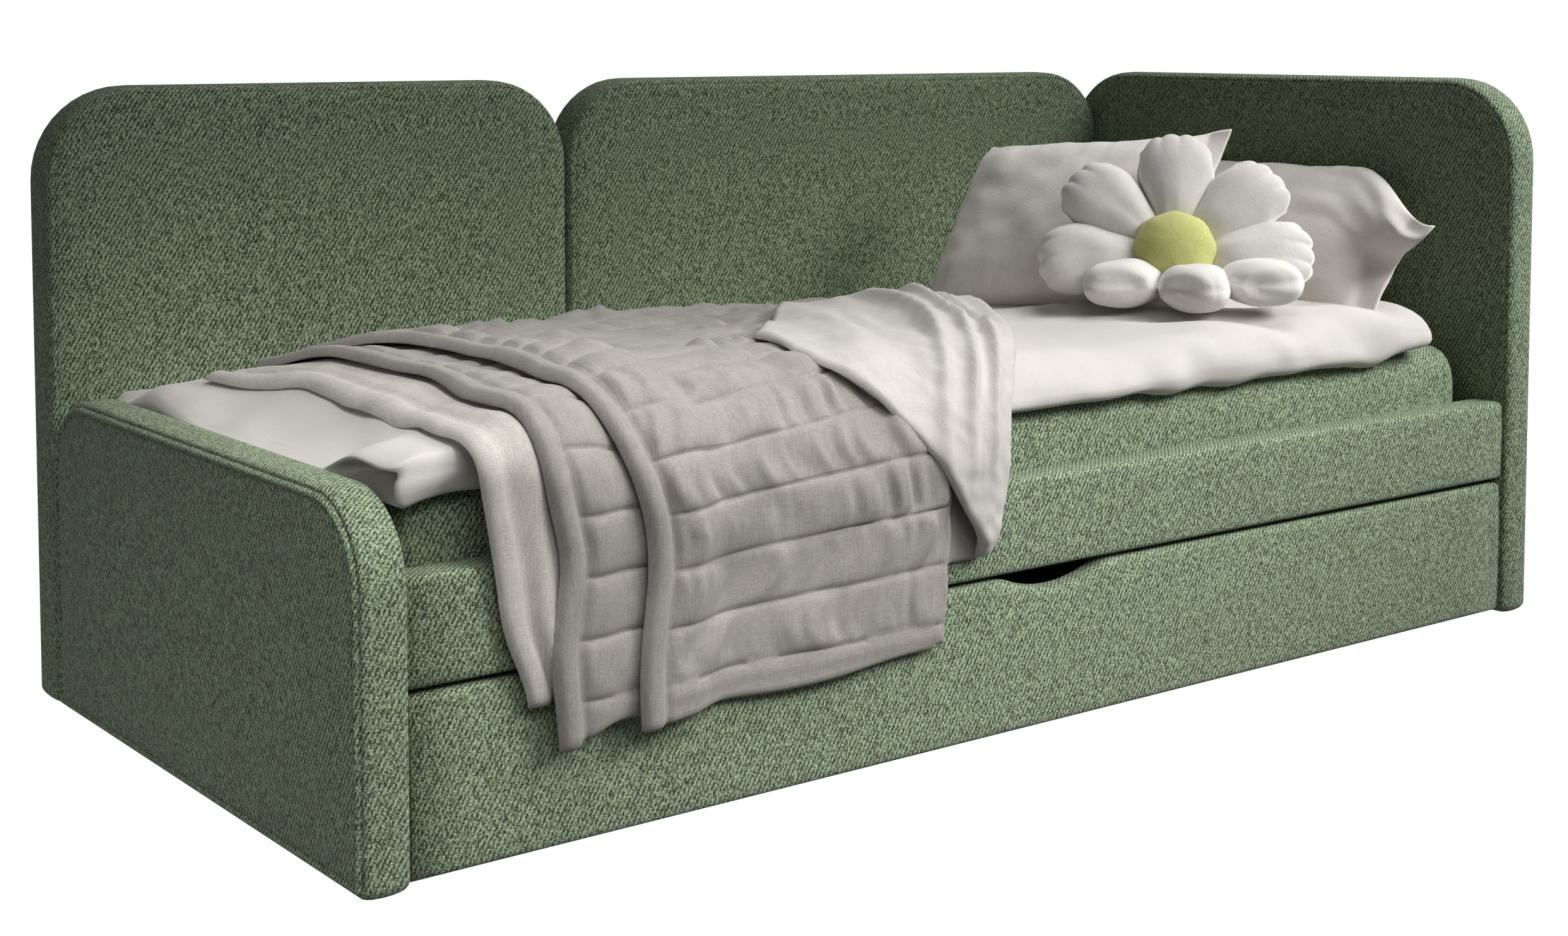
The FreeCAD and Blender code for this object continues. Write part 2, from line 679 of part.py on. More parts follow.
forks = [castor_bracket(number, *place_of) for number, place_of in enumerate(CASTORS)]
node(group("forks", forks), "castor_brackets")
axles = [castor_axle(number, *place_of) for number, place_of in enumerate(CASTORS)]
node(group("axles", axles), "castor_axles")
for number, place_of in enumerate(CASTORS):
    node(castor_wheel(number, *place_of), f"castor_wheel_{number + 1}")

# ---- mattress and bedding ------------------------------------------------------------------------
# Soft pieces are plain closed solids, each clear of the next by the layer gap.

MATTRESS_Z = "slat_top + layer_gap"
DUVET_Z = "mattress_top + layer_gap"
BLANKET_Z = "duvet_top + layer_gap"
QUILT_Z = f"{BLANKET_Z} + blanket_thickness + layer_gap"
FLAP_Z = f"{QUILT_Z} + quilt_thickness + layer_gap"
HANG = "hang_back - hang_front"

node(slab("mattress_pad", "XY_Plane", "mattress_length", "mattress_width", f"mattress_top - ({MATTRESS_Z})",
          ("-mattress_length / 2", "mattress_front", MATTRESS_Z), "5 * rim", "3 * rim"), "mattress")
node(slab("duvet_pad", "XY_Plane", f"duvet_head_x + {HALF} - 2", "back_face - mattress_front + 2 * rim",
          f"duvet_top - ({DUVET_Z})", (f"2 - {HALF}", "mattress_front - 2 * rim - 1", DUVET_Z),
          "5 * rim", "2 * rim"), "duvet")

node(box("blanket_sheet", "quilt_head_x - blanket_foot_x", "bedding_rear_y - hang_back - layer_gap",
         "blanket_thickness", "blanket_foot_x", "hang_back + layer_gap", BLANKET_Z), "blanket_top")
STRIP = "quilt_foot_x - blanket_foot_x - layer_gap"
node(box("blanket_front", STRIP, HANG, f"{BLANKET_Z} + blanket_thickness - rail_top", "blanket_foot_x",
         "hang_front", "rail_top"), "blanket_side")
node(box("blanket_end", STRIP, HANG, "rail_top - blanket_hem_z", "blanket_foot_x", "hang_front",
         "blanket_hem_z"), "blanket_drop")

node(box("quilt_sheet", "quilt_head_x - quilt_foot_x", "bedding_rear_y - hang_front", "quilt_thickness",
         "quilt_foot_x", "hang_front", QUILT_Z), "quilt_top")
QUILT_WIDTH = "quilt_hem_x - quilt_foot_x"
node(box("quilt_front", QUILT_WIDTH, HANG, f"{QUILT_Z} - rail_top", "quilt_foot_x", "hang_front",
         "rail_top"), "quilt_side")
node(box("quilt_end", QUILT_WIDTH, HANG, "rail_top - quilt_hem_z", "quilt_foot_x", "hang_front",
         "quilt_hem_z"), "quilt_drop")

flap_lying = box("flap_lying", "quilt_head_x - flap_left_x", "bedding_rear_y / 2 - flap_front",
                 "flap_thickness", "flap_left_x", "flap_front", FLAP_Z)
flap_hanging = box("flap_hanging", "flap_fold_x - flap_left_x", "hang_front - flap_front - layer_gap",
                   f"{FLAP_Z} + flap_thickness - flap_hem_z", "flap_left_x", "flap_front", "flap_hem_z")
node(fuse("flap", [flap_lying, flap_hanging]), "blanket_flap")


def level(azimuth):
    """The level direction at an azimuth in degrees from +X."""
    return FreeCAD.Vector(math.cos(math.radians(azimuth)), math.sin(math.radians(azimuth)), 0)


def tilted(direction, angle):
    """A level direction tilted up from the horizontal by an angle in degrees."""
    return direction * math.cos(math.radians(angle)) + FreeCAD.Vector(0, 0, math.sin(math.radians(angle)))


def leaning(azimuth, lean):
    """The turn of a cushion that leans back: X runs along it, Y up it, and Z out of its face."""
    along = level(azimuth - 90)
    up = tilted(level(azimuth), 90 - lean)
    return FreeCAD.Rotation(along, up, along.cross(up), "XYZ")


def pillow(name, length, height, centre, azimuth, lean):
    """A pillow turned about its own centre."""
    body = slab(name, "XY_Plane", length, height, "pillow_thickness", None, "pillow_rim", "pillow_rim")
    middle = FreeCAD.Vector(DIMENSIONS[length], DIMENSIONS[height], DIMENSIONS["pillow_thickness"]) / 2
    turn = leaning(azimuth, lean)
    body.Placement = FreeCAD.Placement(FreeCAD.Vector(*centre) - turn.multVec(middle), turn)
    return body


node(pillow("pillow_on_headboard", "pillow_length", "rear_pillow_height", REAR_PILLOW_CENTRE, 0,
            REAR_PILLOW_LEAN), "pillow_rear")
node(pillow("pillow_by_daisy", "front_pillow_length", "front_pillow_height", FRONT_PILLOW_CENTRE,
            FRONT_PILLOW_AZIMUTH, FRONT_PILLOW_LEAN), "pillow_front")


def ellipsoid(name, along, across, through, centre, turn):
    """A plump pad with its three half sizes bound to the sheet."""
    pad_solid = doc.addObject("Part::Ellipsoid", name)
    bind(pad_solid, Radius1=through, Radius2=along, Radius3=across)
    pad_solid.Placement = FreeCAD.Placement(centre, turn)
    return pad_solid


def daisy():
    """Eight petals round a centre: the upper ones lean back, the lower ones lie forward."""
    turn = leaning(DAISY_AZIMUTH, DAISY_LEAN)
    middle = FreeCAD.Vector(*DAISY_CENTRE)
    along = turn.multVec(FreeCAD.Vector(1, 0, 0))
    up = turn.multVec(FreeCAD.Vector(0, 1, 0))
    down = tilted(-level(DAISY_AZIMUTH), -DAISY_DROOP)
    petals = []
    for number in range(PETALS):
        angle = 2 * math.pi * number / PETALS
        rise = up * math.cos(angle) if math.cos(angle) > -0.01 else down * -math.cos(angle)
        reach = (along * math.sin(angle) + rise).normalize()
        face = along.cross(up) if math.cos(angle) > -0.01 else along.cross(-down)
        lie = FreeCAD.Rotation(reach, face.cross(reach), face, "XZY")
        petals.append(ellipsoid(f"petal_{number}", "petal_length", "petal_width", "petal_depth",
                                middle + reach * DIMENSIONS["daisy_ring"], lie))
    disc = ellipsoid("daisy_disc", "daisy_centre_radius", "daisy_centre_radius", "petal_depth",
                     middle + along.cross(up) * DAISY_CENTRE_RISE, turn)
    return group("petals", petals), disc


petal_ring, disc = daisy()
node(petal_ring, "daisy_petals")
node(disc, "daisy_centre")

# ---- checks and files ----------------------------------------------------------------------------

doc.recompute()
for item in doc.Objects:
    if "Invalid" in item.State or "Error" in item.State:
        raise RuntimeError(f"{item.Name} failed: {item.State}")
for item in nodes:
    if item.Shape.isNull() or not item.Shape.isValid() or not item.Shape.Solids:
        raise RuntimeError(f"{item.Label} has no valid solid")

os.makedirs("parts", exist_ok=True)
for item in nodes:
    item.Shape.exportStep(f"parts/{item.Label}.step")
print(len(nodes), "nodes written")
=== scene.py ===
import math

import bmesh
import bpy
import numpy as np
from mathutils import Matrix, Vector


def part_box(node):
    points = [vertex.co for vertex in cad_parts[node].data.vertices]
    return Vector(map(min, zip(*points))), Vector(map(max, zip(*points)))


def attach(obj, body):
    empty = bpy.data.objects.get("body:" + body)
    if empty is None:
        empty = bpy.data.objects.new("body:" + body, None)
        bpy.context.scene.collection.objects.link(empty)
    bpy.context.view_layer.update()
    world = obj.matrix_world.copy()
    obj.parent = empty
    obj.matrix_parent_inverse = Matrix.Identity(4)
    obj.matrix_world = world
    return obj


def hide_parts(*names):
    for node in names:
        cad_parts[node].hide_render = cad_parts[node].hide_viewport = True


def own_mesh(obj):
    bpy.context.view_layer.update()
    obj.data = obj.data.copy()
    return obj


# An upholstered junior daybed with its mattress and bedding. Lengths are in millimetres and become
# metres where a mesh is made. +X runs from foot to head, -Y to the front, +Z up.

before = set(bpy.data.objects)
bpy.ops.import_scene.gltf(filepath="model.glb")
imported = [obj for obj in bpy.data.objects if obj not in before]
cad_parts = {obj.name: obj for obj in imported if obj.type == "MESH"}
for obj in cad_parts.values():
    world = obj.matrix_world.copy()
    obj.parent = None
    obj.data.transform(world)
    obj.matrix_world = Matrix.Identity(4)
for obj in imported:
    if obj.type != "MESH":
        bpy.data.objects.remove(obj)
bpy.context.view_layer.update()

MM = 0.001


def box_mm(node):
    """A CAD node's lowest and highest corners in millimetres."""
    low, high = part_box(node)
    return np.array(low) / MM, np.array(high) / MM


# ------------------------------
# camera, floor and lights

CAMERA_PLACE = (-1.99116, -2.47839, 0.87765)
CAMERA_YAW = 37.349
CAMERA_PITCH = 3.937
CAMERA_LENS = 52.38
CAMERA_SHIFT = -0.1779

SKY_STRENGTH = 0.07
FLOOR_SIZE = 120
BACKDROP_RADIUS = 58

# each softbox's place, target and size in metres, power in watts, and spread in degrees
SOFTBOXES = {
    "key_softbox": ((1.0, -1.9, 1.6), (0.1, -0.55, 0.05), (2.2, 0.8), 11.3, 60),
    "fill_softbox": ((-1.0, -1.9, 1.6), (-0.6, -0.55, 0.05), (1.6, 0.8), 2.2, 60),
    "top_softbox": ((1.3, -0.1, 2.6), (-0.1, -0.25, 0.4), (1.6, 1.0), 7.0, 80),
    "foot_softbox": ((-0.6, -0.8, 2.4), (-0.8, -0.25, 0.4), (0.8, 0.8), 2.4, 45),
    "side_softbox": ((-2.4, -0.6, 0.9), (-1.0, -0.1, 0.0), (1.6, 0.6), 0.75, 50),
}


def add_camera():
    """The view from the front left, a little above the bed."""
    data = bpy.data.cameras.new("camera")
    data.sensor_width = 36
    data.lens = CAMERA_LENS
    data.shift_y = CAMERA_SHIFT
    data.clip_end = 200
    camera = bpy.data.objects.new("camera", data)
    camera.location = CAMERA_PLACE
    camera.rotation_euler = (math.radians(90 - CAMERA_PITCH), 0, -math.radians(CAMERA_YAW))
    bpy.context.scene.collection.objects.link(camera)
    bpy.context.scene.camera = camera


def add_light(name, place, target, size, power, spread):
    """A softbox facing its target, with a grid that narrows its beam to a spread in degrees."""
    data = bpy.data.lights.new(name, "AREA")
    data.shape = "RECTANGLE"
    data.size, data.size_y = size
    data.energy = power
    data.spread = math.radians(spread)
    light = bpy.data.objects.new(name, data)
    light.location = place
    light.rotation_euler = (Vector(target) - Vector(place)).to_track_quat("-Z", "Y").to_euler()
    light.visible_camera = False
    bpy.context.scene.collection.objects.link(light)


def add_sky():
    """A weak even white light from all round."""
    world = bpy.data.worlds.new("studio")
    world.use_nodes = True
    world.node_tree.nodes["Background"].inputs["Color"].default_value = (1, 1, 1, 1)
    world.node_tree.nodes["Background"].inputs["Strength"].default_value = SKY_STRENGTH
    bpy.context.scene.world = world


def add_floor():
    """A glowing white floor that shows only faint shadows and lights no matt surface."""
    floor_paint = bpy.data.materials.new("floor_paint")
    floor_paint.use_nodes = True
    shader = floor_paint.node_tree.nodes["Principled BSDF"]
    shader.inputs["Base Color"].default_value = (0.05, 0.05, 0.05, 1)
    shader.inputs["Roughness"].default_value = 0.9
    shader.inputs["Specular IOR Level"].default_value = 0.1
    shader.inputs["Emission Color"].default_value = (1, 1, 1, 1)
    shader.inputs["Emission Strength"].default_value = 1.0
    bpy.ops.mesh.primitive_plane_add(size=FLOOR_SIZE)
    floor = bpy.context.object
    floor.name = "floor"
    floor.data.materials.append(floor_paint)
    floor.visible_diffuse = False


def add_backdrop():
    """A glowing white dome that only the camera sees."""
    glow = bpy.data.materials.new("backdrop_glow")
    glow.use_nodes = True
    glow.node_tree.nodes.clear()
    emission = glow.node_tree.nodes.new("ShaderNodeEmission")
    output = glow.node_tree.nodes.new("ShaderNodeOutputMaterial")
    glow.node_tree.links.new(emission.outputs["Emission"], output.inputs["Surface"])
    bpy.ops.mesh.primitive_uv_sphere_add(radius=BACKDROP_RADIUS, segments=48, ring_count=24)
    backdrop = bpy.context.object
    backdrop.name = "backdrop"
    backdrop.data.materials.append(glow)
    for ray in ("visible_diffuse", "visible_glossy", "visible_transmission", "visible_shadow"):
        setattr(backdrop, ray, False)


def add_studio():
    """The white floor and backdrop, the sky and the softboxes."""
    bpy.context.scene.view_settings.view_transform = "Standard"
    add_sky()
    add_floor()
    add_backdrop()
    for name, softbox in SOFTBOXES.items():
        add_light(name, *softbox)


# ------------------------------
# materials


class Shader:
    """A material whose nodes are added one by one."""

    def __init__(self, name, roughness, sheen=0.0, specular=0.3):
        self.material = bpy.data.materials.new(name)
        self.material.use_nodes = True
        self.tree = self.material.node_tree
        self.surface = self.tree.nodes["Principled BSDF"]
        self.surface.inputs["Roughness"].default_value = roughness
        self.surface.inputs["Specular IOR Level"].default_value = specular
        self.surface.inputs["Sheen Weight"].default_value = sheen
        self.surface.inputs["Sheen Roughness"].default_value = 0.5
        self.place = self.add("ShaderNodeTexCoord").outputs["Object"]

    def add(self, kind, values=(), **settings):
        """A node with its settings, and values for its inputs by name or number."""
        made = self.tree.nodes.new(kind)
        for setting, value in settings.items():
            setattr(made, setting, value)
        for key, value in dict(values).items():
            if isinstance(value, bpy.types.NodeSocket):
                self.tree.links.new(value, made.inputs[key])
            else:
                made.inputs[key].default_value = value
        return made

    def math(self, operation, first, second=0.0, third=0.0):
        return self.add("ShaderNodeMath", {0: first, 1: second, 2: third}, operation=operation).outputs[0]

    def swayed(self, level, factor, amount, middle=0.5):
        """A level that goes up and down with a factor's distance from its middle."""
        return self.math("MULTIPLY_ADD", self.math("SUBTRACT", factor, middle), amount, level)

    def stretched(self, scale):
        """The place, stretched."""
        return self.add("ShaderNodeMapping", {"Vector": self.place, "Scale": scale}).outputs[0]

    def noise(self, scale, detail=2.0, place=None):
        values = {"Vector": place or self.place, "Scale": scale, "Detail": detail, "Roughness": 0.5}
        return self.add("ShaderNodeTexNoise", values).outputs["Fac"]

    def bands(self, direction, pitch):
        """Even bands from -1 to 1 across a direction, one pitch apart, in millimetres."""
        length = math.sqrt(sum(part * part for part in direction))
        step = [part / length * 2 * math.pi / (pitch * MM) for part in direction]
        along = self.add("ShaderNodeVectorMath", {0: self.place, 1: step}, operation="DOT_PRODUCT")
        return self.math("SINE", along.outputs["Value"])

    def ramp(self, factor, stops):
        """A colour from a factor, with stops of (place, colour)."""
        made = self.add("ShaderNodeValToRGB", {"Fac": factor})
        elements = made.color_ramp.elements
        while len(elements) < len(stops):
            elements.new(0.5)
        for element, (spot, colour) in zip(elements, stops):
            element.position = spot
            element.color = (*colour, 1)
        return made.outputs["Color"]

    def finish(self, factor, stops, height, strength, depth):
        """The material, coloured by a factor's stops and embossed by a height."""
        self.tree.links.new(self.ramp(factor, stops), self.surface.inputs["Base Color"])
        bump = self.add("ShaderNodeBump", {"Height": height, "Strength": strength, "Distance": depth})
        self.tree.links.new(bump.outputs["Normal"], self.surface.inputs["Normal"])
        return self.material


def shade(colour, factor):
    """A colour made lighter or darker."""
    return tuple(part * factor for part in colour)


SAGE = (0.226, 0.286, 0.184)
LINEN = (0.333, 0.311, 0.290)
FLAP_LINEN = (0.57, 0.54, 0.508)
COTTON = (0.625, 0.595, 0.565)
PILLOW = (0.76, 0.72, 0.685)
PETAL = (0.78, 0.75, 0.72)
DAISY_GREEN = (0.60, 0.60, 0.22)


def twill(name, colour):
    """Coarse upholstery twill: diagonal ribs of light thread over dark, with mixed flecks."""
    s = Shader(name, roughness=0.85, sheen=0.12, specular=0.15)
    ribs = s.bands((0.85, -0.85, -0.53), 4.4)
    floats = s.noise(1.0, 1.0, s.stretched((420, 420, 160)))
    flecks = s.noise(430)
    clumps = s.noise(120)
    level = s.math("MULTIPLY_ADD", ribs, 0.14, 0.5)
    level = s.swayed(level, floats, 0.8)
    level = s.swayed(level, flecks, 1.35)
    level = s.swayed(level, clumps, 0.35)
    stops = ((0.24, shade(colour, 0.22)), (0.5, shade(colour, 0.95)), (0.78, shade(colour, 1.95)))
    return s.finish(level, stops, level, strength=0.65, depth=0.0024)


def linen(name, colour, contrast, slub=0.5, sheen=0.2):
    """Washed linen: fine crossed threads, some thicker than others, and a soft mottle."""
    s = Shader(name, roughness=0.88, sheen=sheen, specular=0.15)
    along = s.noise(1.0, 2.0, s.stretched((60, 900, 900)))
    across = s.noise(1.0, 2.0, s.stretched((900, 70, 70)))
    mottle = s.noise(28, 3.0)
    fuzz = s.noise(700, 1.0)
    threads = s.math("ADD", along, across)
    level = s.swayed(0.5, threads, slub, middle=1.0)
    level = s.swayed(level, mottle, 0.35)
    level = s.swayed(level, fuzz, 0.5)
    stops = ((0.2, shade(colour, 1 - contrast)), (0.8, shade(colour, 1 + contrast)))
    return s.finish(level, stops, level, strength=0.35, depth=0.0012)


def wood(name, light, dark):
    """Straight-grained boards, with rings and pores along their length."""
    s = Shader(name, roughness=0.5, specular=0.35)
    grain = s.noise(1.0, 4.0, s.stretched((9, 160, 160)))
    pores = s.noise(1.0, 2.0, s.stretched((60, 1400, 1400)))
    level = s.swayed(grain, pores, 0.5)
    stops = ((0.3, dark), (0.65, light))
    return s.finish(level, stops, level, strength=0.2, depth=0.0005)


def chipboard(name, light, dark):
    """Pressed board with a fine mottled melamine face."""
    s = Shader(name, roughness=0.42, specular=0.4)
    chips = s.noise(260, 3.0)
    cloud = s.noise(14)
    level = s.swayed(chips, cloud, 0.4)
    stops = ((0.32, dark), (0.68, light))
    return s.finish(level, stops, chips, strength=0.12, depth=0.0003)


def steel(name, tone):
    """Zinc-plated steel with faint spangle and brushed scratches."""
    s = Shader(name, roughness=0.34, specular=0.5)
    s.surface.inputs["Metallic"].default_value = 1.0
    spangle = s.noise(190)
    scratches = s.noise(1.0, 2.0, s.stretched((60, 1500, 1500)))
    level = s.swayed(spangle, scratches, 0.5)
    stops = ((0.3, shade(tone, 0.72)), (0.7, tone))
    return s.finish(level, stops, scratches, strength=0.1, depth=0.0002)


def plastic(name, tone):
    """Moulded plastic with a fine spark-eroded texture."""
    s = Shader(name, roughness=0.48, specular=0.45)
    pitted = s.noise(1400)
    worn = s.noise(40, 3.0)
    stops = ((0.35, tone), (0.7, shade(tone, 1.9)))
    return s.finish(worn, stops, pitted, strength=0.25, depth=0.0002)


# ------------------------------
# mesh helpers


def new_piece(name, points, faces, material, body="bed_frame"):
    """A smooth closed mesh from points in millimetres, riding on a body."""
    mesh = bpy.data.meshes.new(name)
    mesh.from_pydata((np.asarray(points, float).reshape(-1, 3) * MM).tolist(), [], faces)
    mesh.materials.append(material)
    work = bmesh.new()
    work.from_mesh(mesh)
    bmesh.ops.recalc_face_normals(work, faces=work.faces)
    work.to_mesh(mesh)
    work.free()
    mesh.polygons.foreach_set("use_smooth", [True] * len(mesh.polygons))
    piece = bpy.data.objects.new(name, mesh)
    bpy.context.scene.collection.objects.link(piece)
    if body:
        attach(piece, body)
    return piece


def loft(name, rings, material, body="bed_frame"):
    """A closed skin through rings of equally many points, with a flat face at both ends."""
    rings = np.asarray(rings, float)
    rows, columns = rings.shape[:2]
    faces = []
    for row in range(rows - 1):
        for column in range(columns):
            after = (column + 1) % columns
            here, above = row * columns, (row + 1) * columns
            faces.append((here + column, here + after, above + after, above + column))
    faces.append(tuple(range(columns))[::-1])
    faces.append(tuple(range((rows - 1) * columns, rows * columns)))
    return new_piece(name, rings, faces, material, body)


def two_sided(name, top, bottom, material, body="bed_frame", cuts=()):
    """A closed skin from two equal grids of points that meet round their edges. cuts are its rows, first
    or last, where the cloth goes on in another piece, so that no shading turns at them."""
    rows, columns = top.shape[:2]
    points = np.concatenate((top.reshape(-1, 3), bottom.reshape(-1, 3)))
    under = rows * columns
    faces = []
    for row in range(rows - 1):
        for column in range(columns - 1):
            a = row * columns + column
            b, c, d = a + 1, a + columns + 1, a + columns
            faces.append((a, b, c, d))
            faces.append((under + d, under + c, under + b, under + a))
    border = list(range(columns))
    border += [row * columns + columns - 1 for row in range(1, rows)]
    border += [(rows - 1) * columns + column for column in range(columns - 2, -1, -1)]
    border += [row * columns for row in range(rows - 2, 0, -1)]
    for here, after in zip(border, border[1:] + border[:1]):
        faces.append((after, here, under + here, under + after))
    piece = new_piece(name, points, faces, material, body)
    cut_points = {row % rows * columns + column for row in cuts for column in range(columns)}
    for edge in piece.data.edges:
        if {corner % under for corner in edge.vertices} <= cut_points:
            edge.use_edge_sharp = True
    return piece


def smooth_step(value, start, end):
    """0 before start, 1 after end, and smooth between."""
    share = np.clip((value - start) / (end - start), 0, 1)
    return share * share * (3 - 2 * share)


LATTICE = 64


def ripple(x, y, seed):
    """Smooth noise from -1 to 1 that changes over about one unit."""
    table = np.random.default_rng(seed).uniform(-1, 1, (LATTICE, LATTICE))
    column, row = np.floor(x).astype(int), np.floor(y).astype(int)
    right, up = x - column, y - row
    right, up = right * right * (3 - 2 * right), up * up * (3 - 2 * up)

    def corner(across, above):
        return table[(column + across) % LATTICE, (row + above) % LATTICE]

    low = corner(0, 0) * (1 - right) + corner(1, 0) * right
    high = corner(0, 1) * (1 - right) + corner(1, 1) * right
    return low * (1 - up) + high * up


def rounded_edge(distance, radius):
    """The share of full thickness at a distance in from a rounded edge."""
    inward = np.clip(distance / radius, 0, 1)
    return np.sqrt(np.clip(1 - (1 - inward) ** 2, 0, 1))


# ------------------------------
# upholstery

ARC_STEPS = 12
EDGE_STEPS = 8


def quarter_turn(centre, radius, start, steps):
    """Points along a quarter of a circle, from a start angle in degrees."""
    angles = np.radians(start + np.linspace(0, 90, steps))
    return np.column_stack((centre[0] + radius * np.cos(angles), centre[1] + radius * np.sin(angles)))


def rounded_outline(low, high, radii, inset):
    """A rectangle's outline with rounded corners, drawn in by inset, from its lower left corner."""
    starts = ((low[0], low[1], 180), (high[0], low[1], 270), (high[0], high[1], 0), (low[0], high[1], 90))
    arcs = []
    for (along, up, start), radius in zip(starts, radii):
        turn = max(radius - inset, 1.0)
        centre_along = along + math.copysign(turn + inset, low[0] + high[0] - 2 * along)
        centre_up = up + math.copysign(turn + inset, low[1] + high[1] - 2 * up)
        arcs.append(quarter_turn((centre_along, centre_up), turn, start, ARC_STEPS))
    points = []
    for arc, following in zip(arcs, arcs[1:] + arcs[:1]):
        points.append(arc)
        points.append(np.linspace(arc[-1], following[0], EDGE_STEPS + 2)[1:-1])
    return np.vstack(points)


CROWN_EDGE = 12
CROWN_REACH = 42


def crowned_face(crown):
    """A padded face from its middle to its edge: (inset, height)."""
    insets = (190, 140, 100, 70, 46, 32, 22, 17)
    return [(inset, crown * (1 - math.exp(-(inset - CROWN_EDGE) / CROWN_REACH))) for inset in insets]


def panel_profile(thickness, inner_crown, outer_crown):
    """Across an upholstered panel, from the middle of its inner face to the middle of its outer one:
    a fine seam at the inner edge, a soft boxing strip, and a welt beside a groove at the outer edge."""
    inner = [(inset, -height) for inset, height in crowned_face(inner_crown)]
    inner += [(13, 0.3), (11, 1.2), (9.6, 2.8), (8.2, 2.4), (6, 2.9), (3.6, 5), (1.6, 8.6), (0.4, 13)]
    boxing = [(-0.6, 0.35 * thickness), (-1.0, 0.55 * thickness), (-0.2, thickness - 16)]
    welt = ((0.6, -11), (2.2, -6.5), (4.4, -4.2), (6.2, -5.4), (7.0, -2.6), (8.2, 0.4), (10.2, 1.9),
            (12.2, 1.5), (13.8, -0.4), (14.6, -2.2), (15.6, -1.7))
    outer = [(inset, thickness + height) for inset, height in welt]
    face = [(inset, thickness + height - 0.8) for inset, height in reversed(crowned_face(outer_crown))]
    return inner + boxing + outer + face


PANEL_FOOT_RADIUS = 14


def upholstered_panel(node, across_axis, outward, top_radii, crowns, material):
    """A padded panel in place of a CAD cover, thin along across_axis, whose outer face looks outward."""
    low, high = box_mm(node)
    along_axis = 1 - across_axis
    thickness = high[across_axis] - low[across_axis]
    inner_face = low[across_axis] if outward > 0 else high[across_axis]
    radii = (PANEL_FOOT_RADIUS, PANEL_FOOT_RADIUS, *top_radii)
    rings = []
    for inset, across in panel_profile(thickness, *crowns):
        outline = rounded_outline((low[along_axis], low[2]), (high[along_axis], high[2]), radii, inset)
        ring = np.zeros((len(outline), 3))
        ring[:, along_axis] = outline[:, 0]
        ring[:, 2] = outline[:, 1]
        ring[:, across_axis] = inner_face + outward * across
        rings.append(ring)
    piece = loft(node.replace("_cover", "_upholstery"), rings, material)
    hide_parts(node)


BAR_FRONT_RADIUS = 9
BAR_REAR_RADIUS = 4
BAR_ARC_STEPS = 7


def padded_bar(node, piece_name, top_of, stations, crown, back_gap, body, material):
    """A padded bar along the bed in place of a CAD cover, with a top edge that top_of gives."""
    low, high = box_mm(node)
    face, rear = low[1] + BAR_FRONT_RADIUS, high[1] - back_gap - BAR_REAR_RADIUS
    rings = []
    for x in stations:
        top = top_of(x)
        section = [*quarter_turn((rear, top - BAR_REAR_RADIUS), BAR_REAR_RADIUS, 0, BAR_ARC_STEPS),
                   *quarter_turn((face, top - BAR_FRONT_RADIUS), BAR_FRONT_RADIUS, 90, BAR_ARC_STEPS)]
        for share in np.linspace(0.08, 0.92, 9):
            bulge = crown * math.sin(math.pi * share) ** 0.5
            height = top - BAR_FRONT_RADIUS + (low[2] + 2 * BAR_FRONT_RADIUS - top) * share
            section.append((low[1] - bulge, height))
        section += [*quarter_turn((face, low[2] + BAR_FRONT_RADIUS), BAR_FRONT_RADIUS, 180, BAR_ARC_STEPS),
                    *quarter_turn((rear, low[2] + BAR_REAR_RADIUS), BAR_REAR_RADIUS, 270, BAR_ARC_STEPS)]
        rings.append([(x, y, z) for y, z in section])
    piece = loft(piece_name, rings, material, body)
    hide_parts(node)


SCOOP_RADIUS = 188
SCOOP_SHOULDER = 90
SCOOP_DEPTH = 21
SCOOP_HALF_WIDTH = 125
BAR_CROWN = 1.5
BAR_BACK_GAP = 1


def drawer_top(x, top):
    """The drawer front's top edge, with a shallow hand scoop whose ends turn smoothly into it."""
    circle = top - SCOOP_DEPTH + SCOOP_RADIUS
    shoulder = top - SCOOP_SHOULDER
    reach = math.sqrt((SCOOP_RADIUS + SCOOP_SHOULDER) ** 2 - (circle - shoulder) ** 2)
    turn = reach * SCOOP_RADIUS / (SCOOP_RADIUS + SCOOP_SHOULDER)
    x = abs(x)
    if x < turn:
        return circle - math.sqrt(SCOOP_RADIUS ** 2 - x ** 2)
    if x < reach:
        return shoulder + math.sqrt(SCOOP_SHOULDER ** 2 - (reach - x) ** 2)
    return top


